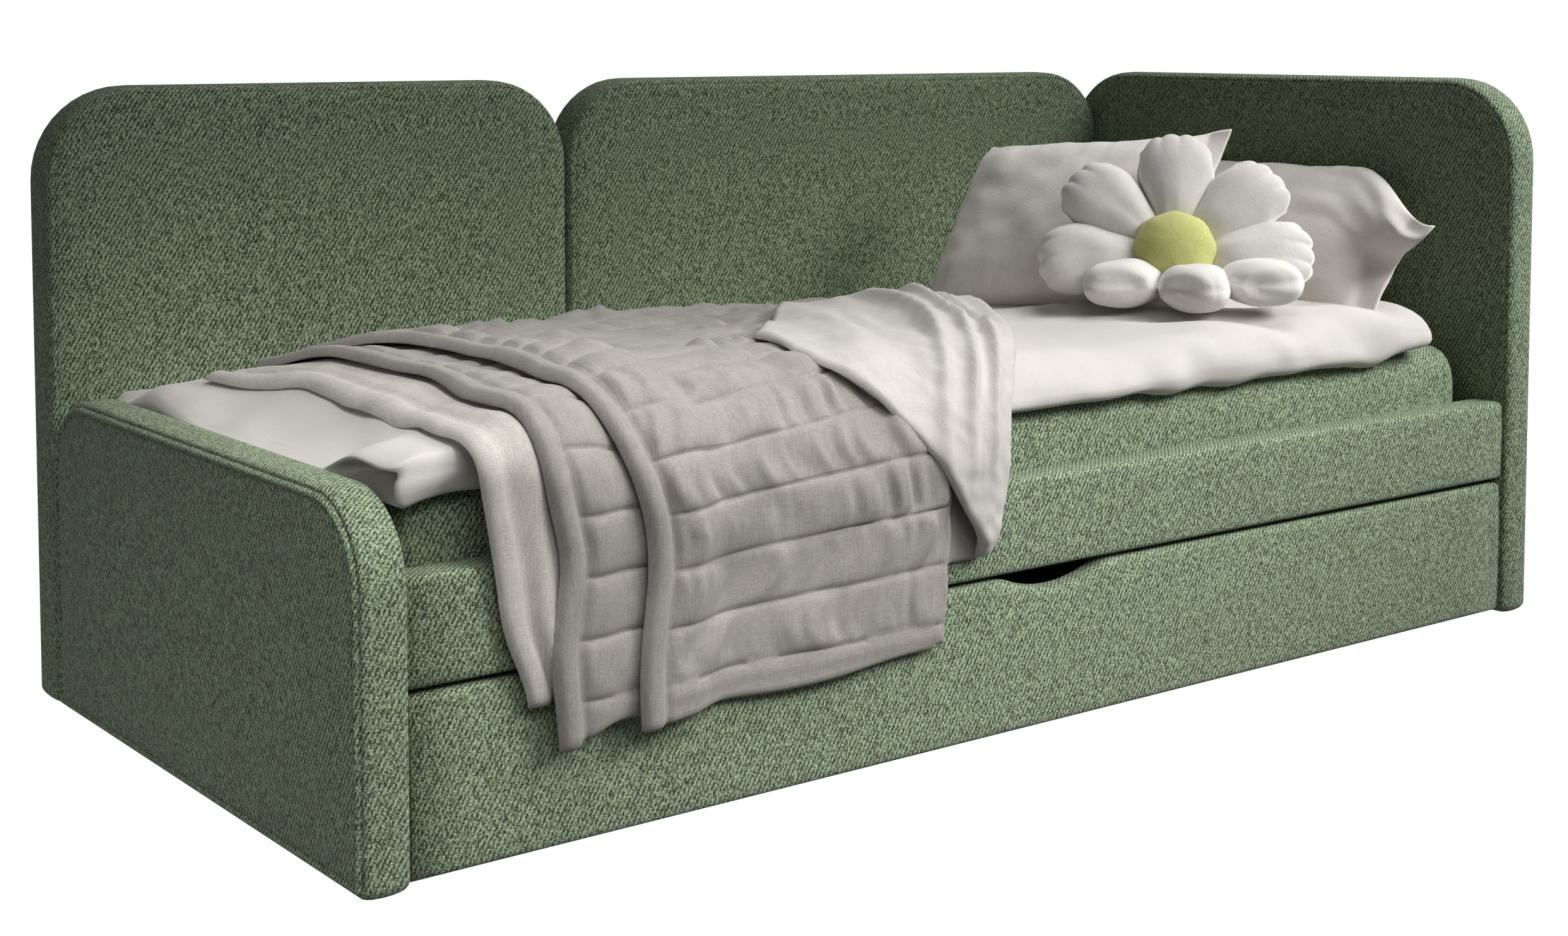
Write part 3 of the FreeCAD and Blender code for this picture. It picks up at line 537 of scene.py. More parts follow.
def add_upholstery(material):
    """The two end panels, the two back panels, the front rail and the drawer front."""
    # node, the axis that it is thin along, its outer side, top radii, inner and outer crown
    panels = (("footboard_cover", 0, -1, (102, 102), (2.5, 6)),
              ("headboard_cover", 0, 1, (130, 122), (4, 6)),
              ("back_left_cover", 1, 1, (122, 122), (6, 4)),
              ("back_right_cover", 1, 1, (122, 122), (6, 4)))
    for node, across_axis, outward, top_radii, crowns in panels:
        upholstered_panel(node, across_axis, outward, top_radii, crowns, material)

    rail_low, rail_high = box_mm("front_rail_cover")
    rail_stations = np.linspace(rail_low[0], rail_high[0], 24)
    padded_bar("front_rail_cover", "front_rail_upholstery", lambda x: rail_high[2], rail_stations, BAR_CROWN,
               BAR_BACK_GAP, "bed_frame", material)

    front_low, front_high = box_mm("drawer_front_cover")
    scoop = np.linspace(-SCOOP_HALF_WIDTH, SCOOP_HALF_WIDTH, 51)
    left = np.linspace(front_low[0], -SCOOP_HALF_WIDTH - 15, 12)
    right = np.linspace(SCOOP_HALF_WIDTH + 15, front_high[0], 12)
    padded_bar("drawer_front_cover", "drawer_front_upholstery", lambda x: drawer_top(x, front_high[2]),
               np.concatenate((left, scoop, right)), BAR_CROWN, BAR_BACK_GAP, "drawer", material)


MATTRESS_RADII = (50, 50, 60, 60)
MATTRESS_TRIM = (12, 6)

# from the middle of its underside round to its top: (inset, height)
MATTRESS_PROFILE = ((150, 0), (40, 0), (16, 4), (4, 16), (-1, 40), (-3, 70), (-3, 95), (0, 114), (5, 127),
                    (13, 138), (24, 145), (40, 149), (70, 151), (120, 152), (200, 152))


def add_mattress(material):
    """A soft foam mattress with rounded, slightly bulging sides."""
    low, high = box_mm("mattress")
    rings = []
    for inset, height in MATTRESS_PROFILE:
        outline = rounded_outline(low[:2], high[:2] - MATTRESS_TRIM, MATTRESS_RADII, inset)
        rings.append(np.column_stack((outline, np.full(len(outline), low[2] + height))))
    piece = loft("mattress_foam", rings, material)
    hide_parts("mattress")


# ------------------------------
# bedding

EDGE_Y = -400
EDGE_RADIUS = 50
EDGE_ARC = EDGE_RADIUS * math.pi / 2
BED_TOP = 467
ANCHOR_Z = 326
ANCHOR_S = EDGE_ARC + BED_TOP - EDGE_RADIUS - ANCHOR_Z


def hang_s(z):
    """The way along the bedding's path at which it hangs to a height."""
    return EDGE_ARC + BED_TOP - EDGE_RADIUS - z


def bed_surface(x, y):
    """The height of the duvet's top: soft, sloping off at the rear and at the foot."""
    height = BED_TOP + 5 * ripple(x / 170, y / 150, 3) + 3 * ripple(x / 70, y / 90, 4)
    # fullest behind the front edge, under the quilt
    under_quilt = smooth_step(x, -760, -560) * smooth_step(-x, 100, 300)
    height = height + 14 * np.exp(-((y + 250) / 110) ** 2) * under_quilt
    # lower towards the back panels, most of all at the foot
    height = height - 66 * smooth_step(y, 235, 390)
    at_foot = smooth_step(-x, 400, 620) * (1 - 0.6 * smooth_step(-x, 760, 860))
    height = height - 28 * at_foot * smooth_step(y, 40, 300)
    height = height - 13 * smooth_step(x, -260, 60) * smooth_step(y, -60, 200)
    # sunk beside the footboard
    sunk = 20 + 40 * smooth_step(y, -330, -210) * smooth_step(-y, -230, -60)
    return height - sunk * smooth_step(-x, 740, 908) * smooth_step(-y, -360, -240)


def edge_softness(x):
    """How much wider than its least radius the bedding's front edge turns."""
    return 62 * smooth_step(x, -815, -640) - 34 * smooth_step(x, 60, 420)


def edge_drop(x, y):
    """How far the duvet's top is below the bed's top as it turns down over the front edge."""
    soft = edge_softness(x)
    radius = EDGE_RADIUS + soft
    past = np.clip(EDGE_Y + soft - y, 0, 0.95 * radius)
    return radius - np.sqrt(radius ** 2 - past ** 2)


def drape(x, s, lift):
    """A point of cloth lifted off the bed. s runs from 0 at the bed's front edge, minus towards the
    rear and plus down the front."""
    soft = edge_softness(x)
    radius = EDGE_RADIUS + soft
    turn = np.clip((s + soft) / (EDGE_ARC + 2 * soft), 0, 1) * math.pi / 2
    y = np.where(s < -soft, EDGE_Y - s, EDGE_Y + soft - radius * np.sin(turn))
    uneven = bed_surface(x, np.maximum(y, EDGE_Y)) - BED_TOP
    uneven = uneven * (1 - smooth_step(s, 0, EDGE_ARC))
    z = BED_TOP + uneven - radius * (1 - np.cos(turn)) - np.clip(s - EDGE_ARC - soft, 0, None)
    return np.stack((x, y - lift * np.sin(turn), z + lift * np.cos(turn)), axis=-1)


def through(s, places, values):
    """A side of a cloth through a few points along its way, with its corners rounded."""
    return sum(np.interp(s + offset, places, values) for offset in (-36, -18, 0, 18, 36)) / 5


def row_steps(start, end, step):
    return np.linspace(start, end, max(int(round(abs(end - start) / step)), 2) + 1)


CHANNEL = 66
HEM_BAND = 34


def seam_lean(x, place):
    """How far towards the rear the quilt's seams slant: a little on the drop, more on the bed's top."""
    hanging = 0.25 * smooth_step(-place, -320, -210)
    at_split = 1 - np.exp(-((place - ANCHOR_S) / 14) ** 2)
    at_rear = 1 - smooth_step(-place, 480, 720)
    lying = 0.75 * smooth_step(-place, -ANCHOR_S, 60) * at_rear
    return 60 * np.sin((x + 420) / 300) * (hanging * at_split * at_rear + lying)


def across_seams(x, s):
    """The way along the path of the seam line through a point where that line crosses x = -420."""
    place = s
    for _ in range(12):
        place = s + seam_lean(x, place)
    return place


SEAM_WIDTH = 2.0
SEAM_STEP = 2.2


def quilting(x, s, hem_s, depth, pucker, seed):
    """How far quilting stands up: channels counted from hem_s, with puckers across them."""
    from_hem = hem_s - HEM_BAND - s + 1.1 * ripple(x / 60, 0 * x + 0.5, seed + 4)
    channel = np.floor(from_hem / CHANNEL)
    share = from_hem / CHANNEL - channel
    band = from_hem < 0
    belly = np.sin(np.pi * share) ** 0.4
    leaning_x = x + 16 * ripple(x / 110, channel * 1.3 + s / 120, seed + 5)
    leaning_x = leaning_x + 9 * np.sin(4.2 * share + 1.9 * channel)
    leaning_x = leaning_x + 16 * (share - 0.5) * np.cos(1.7 * channel)
    narrow = ripple(leaning_x / 12.5, channel * 2.4 + s / 130, seed)
    broad = ripple(leaning_x / 34, channel * 2.9 + s / 160, seed + 1)
    patch = 0.25 + 0.75 * smooth_step(ripple(x / 120, channel * 1.7 + s / 200, seed + 2), -0.4, 0.5)
    folds = np.sin(np.pi * share) ** 0.6 * pucker * (0.8 * patch * narrow + 0.75 * broad)
    groove = np.exp(-((share - np.round(share)) * CHANNEL / SEAM_WIDTH) ** 2)
    height = depth * belly + folds - 0.7 * depth * groove
    return np.where(band, 0.5 * depth * np.exp(-((from_hem + 12) / 9) ** 2), height)


def seam_rows(start, end, seam_hem, step):
    """Rows of a quilted cloth, evenly spaced but for three close ones at each seam."""
    rows = set(np.round(row_steps(start, end, step), 1))
    seam = seam_hem - HEM_BAND
    while seam > start + 4:
        if seam < end - 4:
            apart = {row for row in rows if abs(row - seam) > SEAM_STEP + 2}
            rows = apart | {seam - SEAM_STEP, seam, seam + SEAM_STEP}
        seam -= CHANNEL
    return np.array(sorted({row for row in rows if start < row < end} | {start, end}))


ROLL = 28
SETTLING = 6

# how far in a finished left, right, rear and hem side is rounded, and its least share of thickness
SIDE_ROUNDING = ((10, 0.25), (11, 0.25), (7, 0.3), (7, 0.3))


def cloth_piece(name, left, right, rows, lift, relief, material, thickness, roll=0, step=5.0,
                edges=(1, 1, 1, 1)):
    """A thick piece of cloth over the bed. left and right give its sides at each row, and rows its
    rows at each x. roll is how far a rolled left side stands up, and edges says which of its left,
    right, rear and hem sides are finished."""
    columns = max(int(round((right(0.0) - left(0.0)) / step)), 6) + 1
    share = np.linspace(0, 1, columns)[None, :]
    s = rows(np.zeros((1, 1)))
    x = left(s) + (right(s) - left(s)) * share
    for _ in range(SETTLING):
        s = rows(x)
        x = left(s) + (right(s) - left(s)) * share
    from_left = x - left(s)
    from_right = right(s) - x
    from_rear = s - s[:1]
    from_hem = s[-1:] - s

    full = np.ones_like(x) * thickness
    inward = (from_left, from_right, from_rear, from_hem)
    for finished, distance, (radius, least) in zip(edges, inward, SIDE_ROUNDING):
        if finished:
            full = full * (least + (1 - least) * rounded_edge(distance, radius))
    sides = smooth_step(from_right, 0, 14)
    if roll:
        along_roll = np.clip(from_left / ROLL, 0, 1)
        uneven = 1 + 0.3 * ripple(s / 75, 0 * x + roll, 11)
        full = full + roll * uneven * np.sin(np.pi * along_roll) ** 0.6 * (from_left < ROLL)
        full = full - 0.5 * thickness * np.exp(-((from_left - ROLL - 3) / 5) ** 2)
        sides = sides * smooth_step(from_left, ROLL, ROLL + 16)
    if edges[2]:
        sides = sides * smooth_step(from_rear, -10, 60)

    base = lift(x, s)
    top = base + full + relief(x, s) * sides
    cuts = [row for row, finished in ((0, edges[2]), (-1, edges[3])) if not finished]
    return two_sided(name, drape(x, s, top), drape(x, s, np.minimum(base, top - 1.2)), material, cuts=cuts)


def declare_cloth(left, right, start, end):
    """A cloth's widths between two rows, worked out but neither kept nor returned."""
    s = np.linspace(start, end, 40)
    widths = right(s) - left(s)


def split_cloth(name, left, right, rear_s, hem_s, lift, relief, material, thickness, roll,
                upper_nodes=(), drop_nodes=(), step=5.0, seam_hem=HEM_BAND, lean=0.0):
    """A cloth that lies on the bed and hangs down its front, split level with the rail's top edge
    into the part on the bed and the drop below it, both riding on the bed frame. Its seams are
    counted up from seam_hem, and lean is 1 where they slant."""
    hem = hem_s(np.array([0.5 * (left(ANCHOR_S) + right(ANCHOR_S))]))[0]
    last_seam = max(seam_hem - HEM_BAND, ANCHOR_S)

    def upper_rows(x):
        even = seam_rows(rear_s, ANCHOR_S, seam_hem, step)[:, None]
        return even - lean * seam_lean(x, even)

    def drop_rows(x):
        even = seam_rows(ANCHOR_S, hem, seam_hem, step)[:, None]
        below = np.clip((even - last_seam - 4) / (hem - last_seam - 4), 0, 1)
        return even - lean * seam_lean(x, even) + below * (hem_s(x[:1]) - hem)

    upper = cloth_piece(name, left, right, upper_rows, lift, relief, material, thickness, roll, step,
                        edges=(1, 1, 1, 0))
    drop = cloth_piece(name + "_drop", left, right, drop_rows, lift, relief, material, thickness, roll, step,
                       edges=(1, 1, 0, 1))
    declare_cloth(left, right, rear_s, ANCHOR_S)
    declare_cloth(left, right, ANCHOR_S, hem)
    for piece, nodes in ((upper, upper_nodes), (drop, drop_nodes)):
        if nodes:
            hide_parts(*nodes)
    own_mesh(drop)


def constant(value):
    """A straight side of a cloth."""
    return lambda s: value + 0.0 * s


BLANKET_REAR_S = -600
PLEAT_REAR_S = -612
QUILT_REAR_S = -722
FLAP_REAR_S = -574
FLAP_HEM_S = 250


def add_blanket(material):
    """The blanket under the quilt, whose foot edge shows beside it."""

    def left(s):
        places = (BLANKET_REAR_S, -460, -310, -200, 0, 60, 150, 250, 318)
        across = (-862, -806, -808, -818, -842, -842, -826, -810, -778)
        return through(s, places, across) + 4 * ripple(s / 60, s * 0 + 2.5, 21)

    def hem(x):
        return hang_s(172 + 50 * smooth_step(x, -788, -744))

    def lift(x, s):
        return 3 + 0 * x

    def soft_folds(x, s):
        ridge = 7 * np.exp(-((x + 785 - 0.10 * s) / 16) ** 2) * smooth_step(s, -200, 60)
        return ridge + 3.0 * ripple(x / 38, s / 110, 31) + 1.0 * ripple(x / 14, s / 34, 32)

    split_cloth("blanket_cloth", left, constant(-680), BLANKET_REAR_S, hem, lift, soft_folds, material,
                thickness=5.5, roll=3,
                upper_nodes=["blanket_top", "blanket_side"], drop_nodes=["blanket_drop"], step=6.0)


def add_pleat(material):
    """The quilt's lower pleat, under its main part."""
    seam_hem = hang_s(138)

    def left(s):
        places = (-584, -443, -298, -208, -40, 90, 150, 195, 245, 328, 372)
        across = (-784, -744, -740, -746, -780, -770, -750, -746, -763, -757, -750)
        return through(s, places, across)

    def hem(x):
        return hang_s(122 + 18 * smooth_step(x, -750, -675))

    def lift(x, s):
        return 6 + 9 * smooth_step(-x, 660, 705) * smooth_step(s, PLEAT_REAR_S, -440)

    def relief(x, s):
        return quilting(x, s, seam_hem, depth=4.0, pucker=2.4, seed=51)

    split_cloth("quilt_pleat", left, constant(-602), PLEAT_REAR_S, hem, lift, relief, material,
                thickness=8, roll=5.5, seam_hem=seam_hem)


def flap_left(s):
    """The turned-back corner's side towards the foot."""
    across = (30, -330, -330, -239, -152)
    return through(s, (FLAP_REAR_S, -167, 0, 113, 245), across) + 4 * ripple(s / 60, s * 0 + 3.1, 101)


def flap_right(s):
    """The turned-back corner's folded side, towards the head."""
    return through(s, (-475, -300, -150, 0, 85, 155, 245), (290, 205, 95, -35, -104, -110, -134))


def add_quilt(material):
    """The quilt's main part."""
    seam_hem = hang_s(139)

    def left(s):
        places = (QUILT_REAR_S, -560, -500, -386, -253, -114, 0, 112, 175, 310, 367)
        across = (-690, -714, -660, -632, -650, -676, -684, -656, -641, -658, -653)
        return through(s, places, across)

    def right(s):
        places = (-600, -475, -250, 0, 90, 130, 200, 360)
        across = (250, 265, 120, -70, -186, -201, -199, -211)
        channels = np.abs(np.sin(np.pi * (s - seam_hem + HEM_BAND) / CHANNEL)) ** 0.7
        return through(s, places, across) + 4 * channels * smooth_step(s, 110, 150)

    def hem(x):
        corner = 3 * smooth_step(x, -300, -220) + 6 * smooth_step(x, -226, -208)
        return hang_s(124 + 12 * smooth_step(x, -650, -490) + 4 * np.sin(x / 55) + corner)

    def lift(x, s):
        on_pleat = 21 * smooth_step(-x, 525, 590) * smooth_step(s, QUILT_REAR_S, -500)
        return 3 + on_pleat + 3 * ripple(x / 120, s / 150, 71) * smooth_step(x, -520, -440)

    def relief(x, s):
        calmer = 4.5 - 4 * smooth_step(x, -560, -430)
        pucker = 8.5 - calmer * smooth_step(-s, 0, 120) - 2.5 * smooth_step(s, 190, 300)
        depth = 4.4 + 4 * smooth_step(-s, -40, 120)
        flat = quilting(x, across_seams(x, s), seam_hem, depth, pucker, seed=81)
        sag = 7 * ripple((x + 0.5 * s) / 95, s / 130, 91) * smooth_step(s, -100, 120)
        return (flat + sag) * (1 - 0.7 * smooth_step(x - flap_left(s), 5, 45))

    split_cloth("quilt_cloth", left, right, QUILT_REAR_S, hem, lift, relief, material, thickness=8,
                roll=6.5,
                upper_nodes=["quilt_top", "quilt_side"], drop_nodes=["quilt_drop"], seam_hem=seam_hem,
                lean=1.0)


def add_flap(material):
    """The quilt's corner at the head, turned back over it."""

    def rows(x):
        start = FLAP_REAR_S + 95 * smooth_step(x[:1], 60, 290)
        share = row_steps(0, 1, 1 / 165)[:, None]
        return start + share * (FLAP_HEM_S - start)

    def at_fold(x, s):
        return smooth_step(x - flap_right(s), -46, -4)

    def lift(x, s):
        return 21 - 17 * at_fold(x, s) - 9 * smooth_step(s, FLAP_HEM_S - 28, FLAP_HEM_S)

    def creases(x, s):
        from_fold = (flap_right(s) - x) / (0.85 - 0.0007 * s)
        fading = smooth_step(-s, -190, -20) * smooth_step(s, -570, -420)
        ridges = 0
        for place, height, width in ((52, 9, 8), (96, 13, 10), (150, 11, 13)):
            ridges = ridges + height * np.exp(-((from_fold - place) / width) ** 2)
        return fading * ridges

    def relief(x, s):
        long_folds = creases(x, s) + 8 * ripple((x + 0.5 * s) / 54, (s - 0.3 * x) / 300, 111)
        fine = 3 * ripple((x + 0.5 * s) / 26, s / 120, 112) + 1.2 * ripple(x / 12, s / 15, 113)
        beside_fold = np.exp(-((x - flap_right(s) + 62) / 20) ** 2)
        return long_folds * (1 - 0.5 * at_fold(x, s)) + fine + 15 * at_fold(x, s) - 5 * beside_fold

    flap = cloth_piece("quilt_flap", flap_left, flap_right, rows, lift, relief, material, thickness=9)
    declare_cloth(flap_left, flap_right, -540, FLAP_HEM_S)
    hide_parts("blanket_flap")


def add_turn(material):
    """The quilt's own cloth where it turns under the folded corner."""
    left = constant(-225)
    start = -60

    def right(s):
        return flap_right(s) - 14

    def rows(x):
        share = row_steps(0, 1, 1 / 60)[:, None]
        end = 268 - 12 * smooth_step(x[:1], -170, -125)
        return start + share * (end - start)

    def lift(x, s):
        return -6 + 0 * x

    def relief(x, s):
        return 3 * ripple(x / 30, s / 60, 121)

    under = cloth_piece("quilt_turn", left, right, rows, lift, relief, material, thickness=7)
    declare_cloth(left, right, start, 245)


def duvet_folds(x, y):
    """Soft folds in the duvet that run towards the pillows, and finer ones by its free edges."""
    towards_head = smooth_step(x, 180, 420)
    folds = 10 * ripple((x + 1.1 * y) / 80, (y - 0.4 * x) / 230, 141) * towards_head
    folds = folds + 11 * ripple((x + 2.2 * y) / 110, (y - 0.4 * x) / 260, 142) * smooth_step(x, 480, 640)
    foot = smooth_step(-x, 760, 820)
    return folds + foot * 4 * ripple((x - 0.7 * y) / 60, (y + x) / 170, 143)


DUVET_UNDERSIDE = 411
DUVET_RADII = (12, 20, 70, 40)
DUVET_EDGE_POINTS = 760

# from under its middle round to its top: (inset, share of its height)
DUVET_SIDE = ((190, 0.0), (60, 0.0), (24, 0.0), (10, 0.03), (2, 0.09), (-3, 0.16), (-5, 0.23), (-6, 0.30),
              (-6, 0.37), (-6, 0.44), (-5, 0.51), (-3, 0.58), (-1, 0.65), (2, 0.71), (6, 0.77), (11, 0.83),
              (18, 0.89), (28, 0.94))
DUVET_TOP_INSETS = (39, 50, 62, 76, 92, 108, 126, 146, 168, 190, 215, 240, 270, 300, 330, 360, 390)


def evenly_spaced(outline, count):
    """X and Y of points evenly spaced along a closed outline."""
    closed = np.vstack((outline, outline[:1]))
    lengths = np.concatenate(([0], np.cumsum(np.linalg.norm(np.diff(closed, axis=0), axis=1))))
    even = np.linspace(0, lengths[-1], count, endpoint=False)
    return [np.interp(even, lengths, closed[:, axis]) for axis in (0, 1)]


def duvet_ring(x, y, inset, share):
    """One ring of the duvet, a share of the way up from its underside to its top."""
    top = bed_surface(x, y) + 11 * smooth_step(x, 180, 420) + duvet_folds(x, y) - edge_drop(x, y)
    front = smooth_step(-y, 340, 375)
    under = DUVET_UNDERSIDE - front * (13 - 5 * ripple(x / 60, 0 * x, 131) - 12 * smooth_step(x, 640, 800))
    under = under - 15 * smooth_step(-x, 882, 904) * (1 - 0.6 * front)
    belly = math.sin(math.pi * share)
    # the open corner at the foot, hollow between its two layers
    pocket = smooth_step(-x, 780, 860) * smooth_step(-y, 232, 330) * (1 - smooth_step(-y, 398, 405))
    x = x + 62 * pocket * math.sin(math.pi * np.clip((share - 0.10) / 0.56, 0, 1)) ** 0.6
    x = x - 7 * pocket * np.exp(-((share - 0.76) / 0.10) ** 2)
    # pulls and a squarer foot end along the front
    pulls = 6 * ripple(x / 46, 0 * x + share, 132) + 5 * ripple(x / 105, 0 * x + 1.5 * share, 133)
    y = y - front * pulls * belly * smooth_step(x, -880, -840)
    boxed = front * smooth_step(-x, 770, 800) * max(0, min(inset + 4, 30)) * 0.7
    return np.column_stack((x, y - boxed, under + (top - under) * share))


def add_duvet(cotton):
    """The duvet: a thick soft layer whose front edge rolls over the mattress, open at its foot corner."""
    low, high = box_mm("duvet")
    outline_low = np.array([low[0] + 3, low[1] + 4])
    outline_high = np.array([high[0] + 24, high[1] - 8])
    profile = [*DUVET_SIDE]
    profile += [(inset, min(1.0, 0.97 + (inset - 39) / 500)) for inset in DUVET_TOP_INSETS]
    rings = []
    for inset, share in profile:
        outline = rounded_outline(outline_low, outline_high, DUVET_RADII, inset)
        x, y = evenly_spaced(outline, DUVET_EDGE_POINTS)
        rings.append(duvet_ring(x, y, inset, share))
    piece = loft("duvet_body", rings, cotton)
    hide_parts("duvet")


def leaning(azimuth, lean, centre):
    """The place of a cushion that leans back: X runs along it, Y up it, and Z out of its face."""
    azimuth, lean = math.radians(azimuth), math.radians(lean)
    away = Vector((math.cos(azimuth), math.sin(azimuth), 0))
    along = Vector((math.sin(azimuth), -math.cos(azimuth), 0))
    up = away * math.sin(lean) + Vector((0, 0, math.cos(lean)))
    turn = Matrix((along, up, along.cross(up))).transposed()
    return np.array(turn), np.array(centre, float)


FLANGE_HALF = 1.5


def add_pillow(name, node, size, azimuth, lean, roll, shear, centre, flange, droop, seed, material):
    """A stuffed pillow with pulled-in sides and a flat flange at its right end. roll turns it in its own
    plane, shear slants its ends, and droop lets its upper right corner hang down."""
    length, height, depth = size
    u, v = np.meshgrid(np.linspace(-1, 1, 121), np.linspace(-1, 1, 81))
    right_end = 1 - 2 * flange / length
    inner_u = np.where(u > 0, np.clip(u / right_end, 0, 1), u)
    fill = ((1 - np.abs(inner_u) ** 2.6) * (1 - np.abs(v) ** 2.6)) ** 0.5
    x = 0.5 * length * u * (1 - 0.05 * (1 - v ** 2)) + shear * v
    x = x + 0.045 * length * np.abs(v) ** 6 * smooth_step(-u, 0.7, 1.0)
    y = 0.5 * height * v * (1 - 0.07 * (1 - u ** 2))
    gathers = 2.2 * ripple(u * 14, v * 2.5, seed + 3) * np.abs(v) ** 3
    wrinkle = 3.2 * ripple(u * 4 + 1.4 * v, v * 2.2 - u, seed) + gathers
    wrinkle = wrinkle + 2.4 * ripple(u * 2 - v * 1.6, (v + u) * 5, seed + 1) * np.abs(inner_u) ** 2
    corner = np.abs(inner_u * v) ** 1.5
    wave = (2 + 7 * corner) * ripple(u * 4.5, v * 4.5, seed + 2)
    front = 0.5 * depth * fill + FLANGE_HALF + wrinkle * np.clip(fill * 2, 0, 1)
    rear = -0.5 * depth * fill - FLANGE_HALF + wrinkle * 0.5 * np.clip(fill * 2, 0, 1)
    hanging = smooth_step(u, 0.45, 1.0) * smooth_step(v, -0.5, 1.0)
    x = x + 0.4 * droop * hanging
    y = y - droop * hanging
    wave = wave + 0.35 * droop * hanging
    turn, middle = leaning(azimuth, lean, centre)
    turn = turn @ np.array(Matrix.Rotation(math.radians(roll), 3, "Z"))
    sides = []
    for out in (front, rear):
        local = np.stack((x, y, out + wave), axis=-1)
        sides.append(local @ turn.T + middle)
    piece = two_sided(name, sides[0], sides[1], material)
    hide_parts(node)


def petal_sides(length, inner_width, outer_width, depth, taper, scalloped, seed):
    """Both faces of a stuffed petal lying along +Y from its root, in millimetres, with a scalloped end."""
    along, across = np.meshgrid(np.linspace(0, 1, 41), np.linspace(-1, 1, 37), indexing="ij")
    width = inner_width + (outer_width - inner_width) * smooth_step(along, 0.0, 0.72)
    width = width * (1 - taper * smooth_step(along, 0.70, 1.0))
    scallops = np.abs(np.cos(2.0 * np.pi * across + seed)) ** 0.8
    reach = length * (1 - 0.17 * np.abs(across) ** 3.4 - taper * across ** 2 + scalloped * (scallops - 0.5))
    x = 0.5 * width * across * (1 + 0.03 * np.cos(9 * along + seed) * smooth_step(along, 0.5, 0.8))
    y = reach * along
    blunt = 3.4 - 4 * taper
    fill = ((1 - np.abs(across) ** 2.4) * (1 - np.abs(2 * along - 1) ** blunt)) ** 0.5
    puckers = -40 * scalloped * (1 - scallops) ** 2 * smooth_step(along, 0.84, 0.98)
    dents = 2.0 * ripple(across * 1.7 + seed, along * 3.2, seed)
    relief = (puckers + dents) * np.clip(fill * 2, 0, 1)
    front = 0.5 * depth * fill + relief
    return np.stack((x, y, front), axis=-1), np.stack((x, y, -0.5 * depth * fill - relief), axis=-1)


def joined(name, parts, material):
    """Several two-sided parts as one piece."""
    made = [two_sided(f"{name}_{number}", *sides, material, body=None) for number, sides in enumerate(parts)]
    with bpy.context.temp_override(active_object=made[0], selected_editable_objects=made):
        bpy.ops.object.join()
    made[0].name = name
    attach(made[0], "bed_frame")
    return made[0]


DAISY_CENTRE = (458, -203, 556)
DAISY_AZIMUTH = 43
DAISY_LEAN = 32
PETAL_ROOT = 46

# angles round the flower, and for the lying petals also their roots across it and up it
STANDING_PETALS = (-94, -50, 0, 48, 90)
LYING_PETALS = ((-124, -22, -44), (146, -4, -46), (112, 64, -40))
LYING_ANGLE = 55
LYING_OUT = 4

# a petal's length, inner and outer width, depth, taper and scallop
STANDING_SHAPE = (150, 58, 112, 58, 0.03, 0.03)
LYING_SHAPE = (124, 56, 108, 68, 0.26, 0.01)

HEART_RADIUS = 59
HEART_DEPTH = 38
HEART_OUT = 16


def add_daisy(petal_material, centre_material):
    """A stuffed daisy that leans on the pillow: five petals stand back, three lie forward on the duvet."""
    turn, middle = leaning(DAISY_AZIMUTH, DAISY_LEAN, DAISY_CENTRE)
    petals = []

    def add_petal(sides, move, root):
        petals.append([(side @ np.array(move).T + root) @ turn.T + middle for side in sides])

    for number, angle in enumerate(STANDING_PETALS):
        spin = Matrix.Rotation(-math.radians(angle), 3, "Z")
        root = np.array(spin @ Vector((0, PETAL_ROOT, 0)))
        add_petal(petal_sides(*STANDING_SHAPE, 200 + number), spin, root)
    forward = Matrix.Rotation(-math.radians(LYING_ANGLE), 3, "X")
    for number, (angle, across, up) in enumerate(LYING_PETALS):
        spin = Matrix.Rotation(-math.radians(angle), 3, "Z")
        root = np.array((across, up, LYING_OUT))
        add_petal(petal_sides(*LYING_SHAPE, 210 + number), forward @ spin, root)
    flower = joined("daisy_petals_stuffed", petals, petal_material)
    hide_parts("daisy_petals")

    rings = []
    for polar in np.radians(np.linspace(4, 176, 25)):
        height = HEART_OUT + HEART_DEPTH * math.cos(polar)
        ring = []
        for spin in np.radians(np.arange(0, 360, 9)):
            radius = HEART_RADIUS * math.sin(polar) * (1 + 0.02 * math.cos(8 * spin))
            ring.append((radius * math.cos(spin), radius * math.sin(spin), height))
        rings.append(np.array(ring) @ turn.T + middle)
    heart = loft("daisy_heart", rings, centre_material)
    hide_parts("daisy_centre")


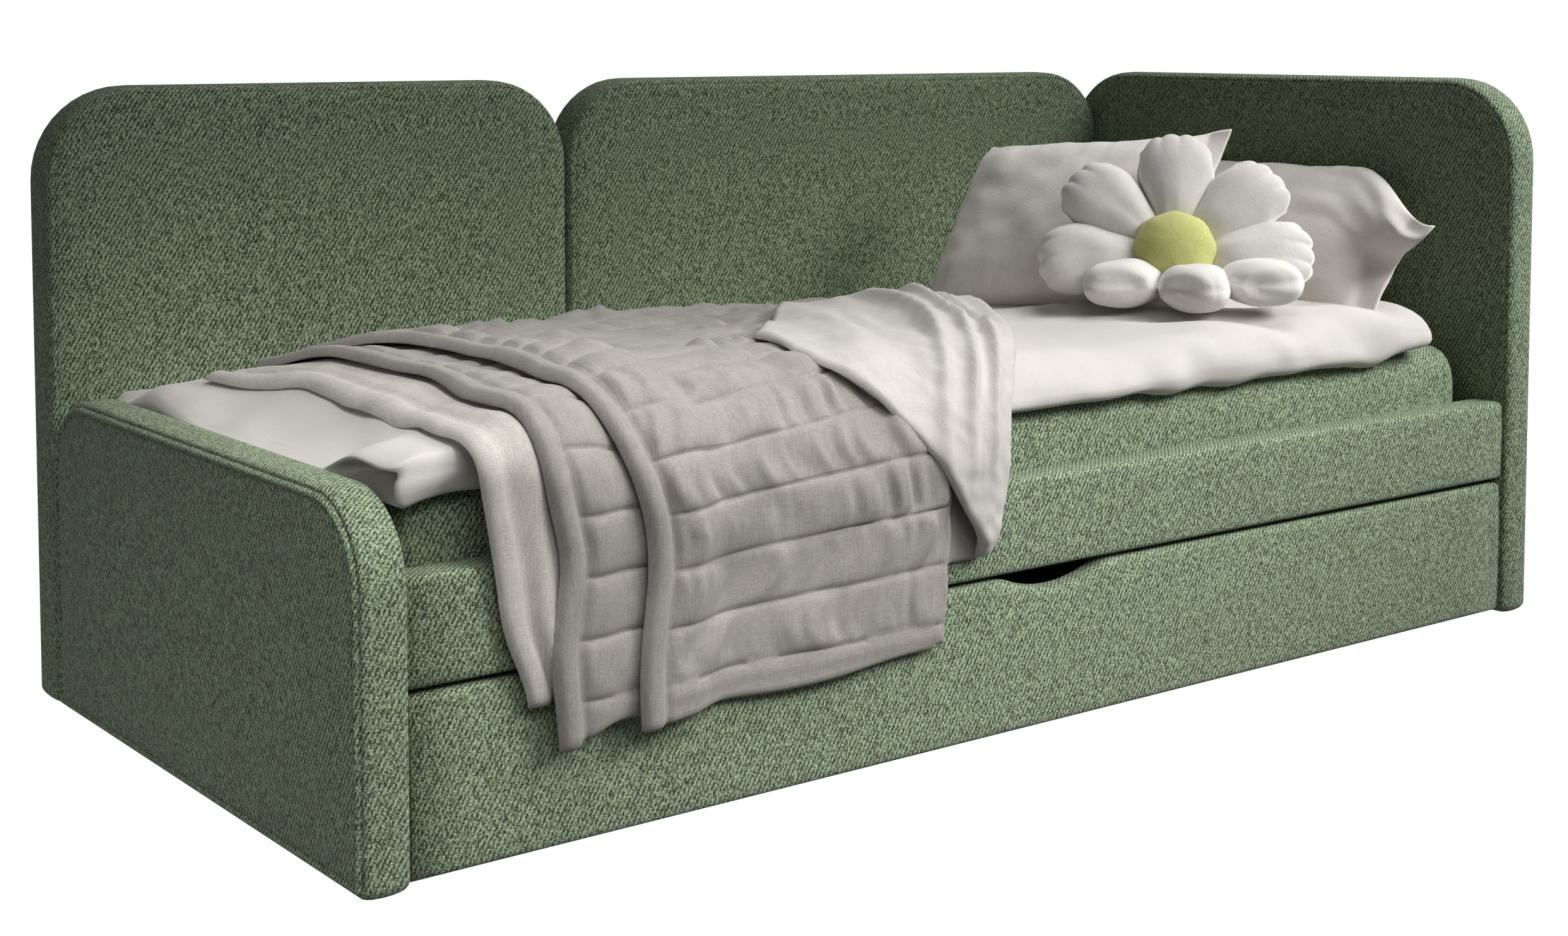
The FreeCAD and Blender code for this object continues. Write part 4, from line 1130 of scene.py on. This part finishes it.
# ------------------------------
# finishes of the frame, the drawer and the fittings


def finish_hardware():
    """Wood, board, steel and plastic on the pieces whose shape stays."""
    birch = wood("birch_ply", (0.66, 0.50, 0.33), (0.46, 0.31, 0.18))
    board = chipboard("melamine_board", (0.74, 0.71, 0.66), (0.60, 0.57, 0.52))
    raw_board = chipboard("raw_chipboard", (0.56, 0.43, 0.28), (0.34, 0.24, 0.14))
    bracket = steel("bracket_steel", (0.62, 0.63, 0.65))
    zinc = steel("zinc_plate", (0.74, 0.75, 0.78))
    black = plastic("black_nylon", (0.012, 0.012, 0.013))
    finishes = {"panel_board": raw_board, "slat_wood": birch, "drawer_board": board,
                "bracket_steel": bracket, "zinc_fasteners": zinc, "black_plastic": black}
    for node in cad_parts.values():
        for slot in node.material_slots:
            slot.material = finishes.get(slot.material.name.split(".")[0], slot.material)


add_camera()
add_studio()
sage = twill("sage_twill", SAGE)
add_upholstery(sage)
add_mattress(sage)
add_duvet(linen("duvet_cotton", COTTON, contrast=0.07, slub=0.35, sheen=0.15))
quilt_linen = linen("quilt_linen", LINEN, contrast=0.3)
blanket_linen = linen("blanket_linen", shade(LINEN, 1.62), contrast=0.3)
flap_linen = linen("flap_linen", FLAP_LINEN, contrast=0.14)
add_blanket(blanket_linen)
add_pleat(quilt_linen)
add_quilt(quilt_linen)
add_flap(flap_linen)
add_turn(quilt_linen)

rear_linen = linen("pillow_linen", PILLOW, contrast=0.13)
add_pillow("pillow_rear_stuffed", "pillow_rear", size=(620, 290, 100), azimuth=0, lean=45, roll=0, shear=0,
           centre=(795, -62, 562), flange=44, droop=146, seed=301, material=rear_linen)
# the front pillow has the rear pillow's linen painted 1.15 times lighter: painted light that stands in for
# lamp light its shaded face doesn't get
front_painted_light_linen = linen("pillow_front_painted_light_linen", shade(PILLOW, 1.15), contrast=0.13)
add_pillow("pillow_front_stuffed", "pillow_front", size=(418, 320, 120), azimuth=20, lean=42, roll=5,
           shear=12, centre=(469, 12, 586), flange=34, droop=-16, seed=311, material=front_painted_light_linen)
add_daisy(linen("petal_linen", PETAL, contrast=0.12), linen("heart_linen", DAISY_GREEN, contrast=0.2))
finish_hardware()
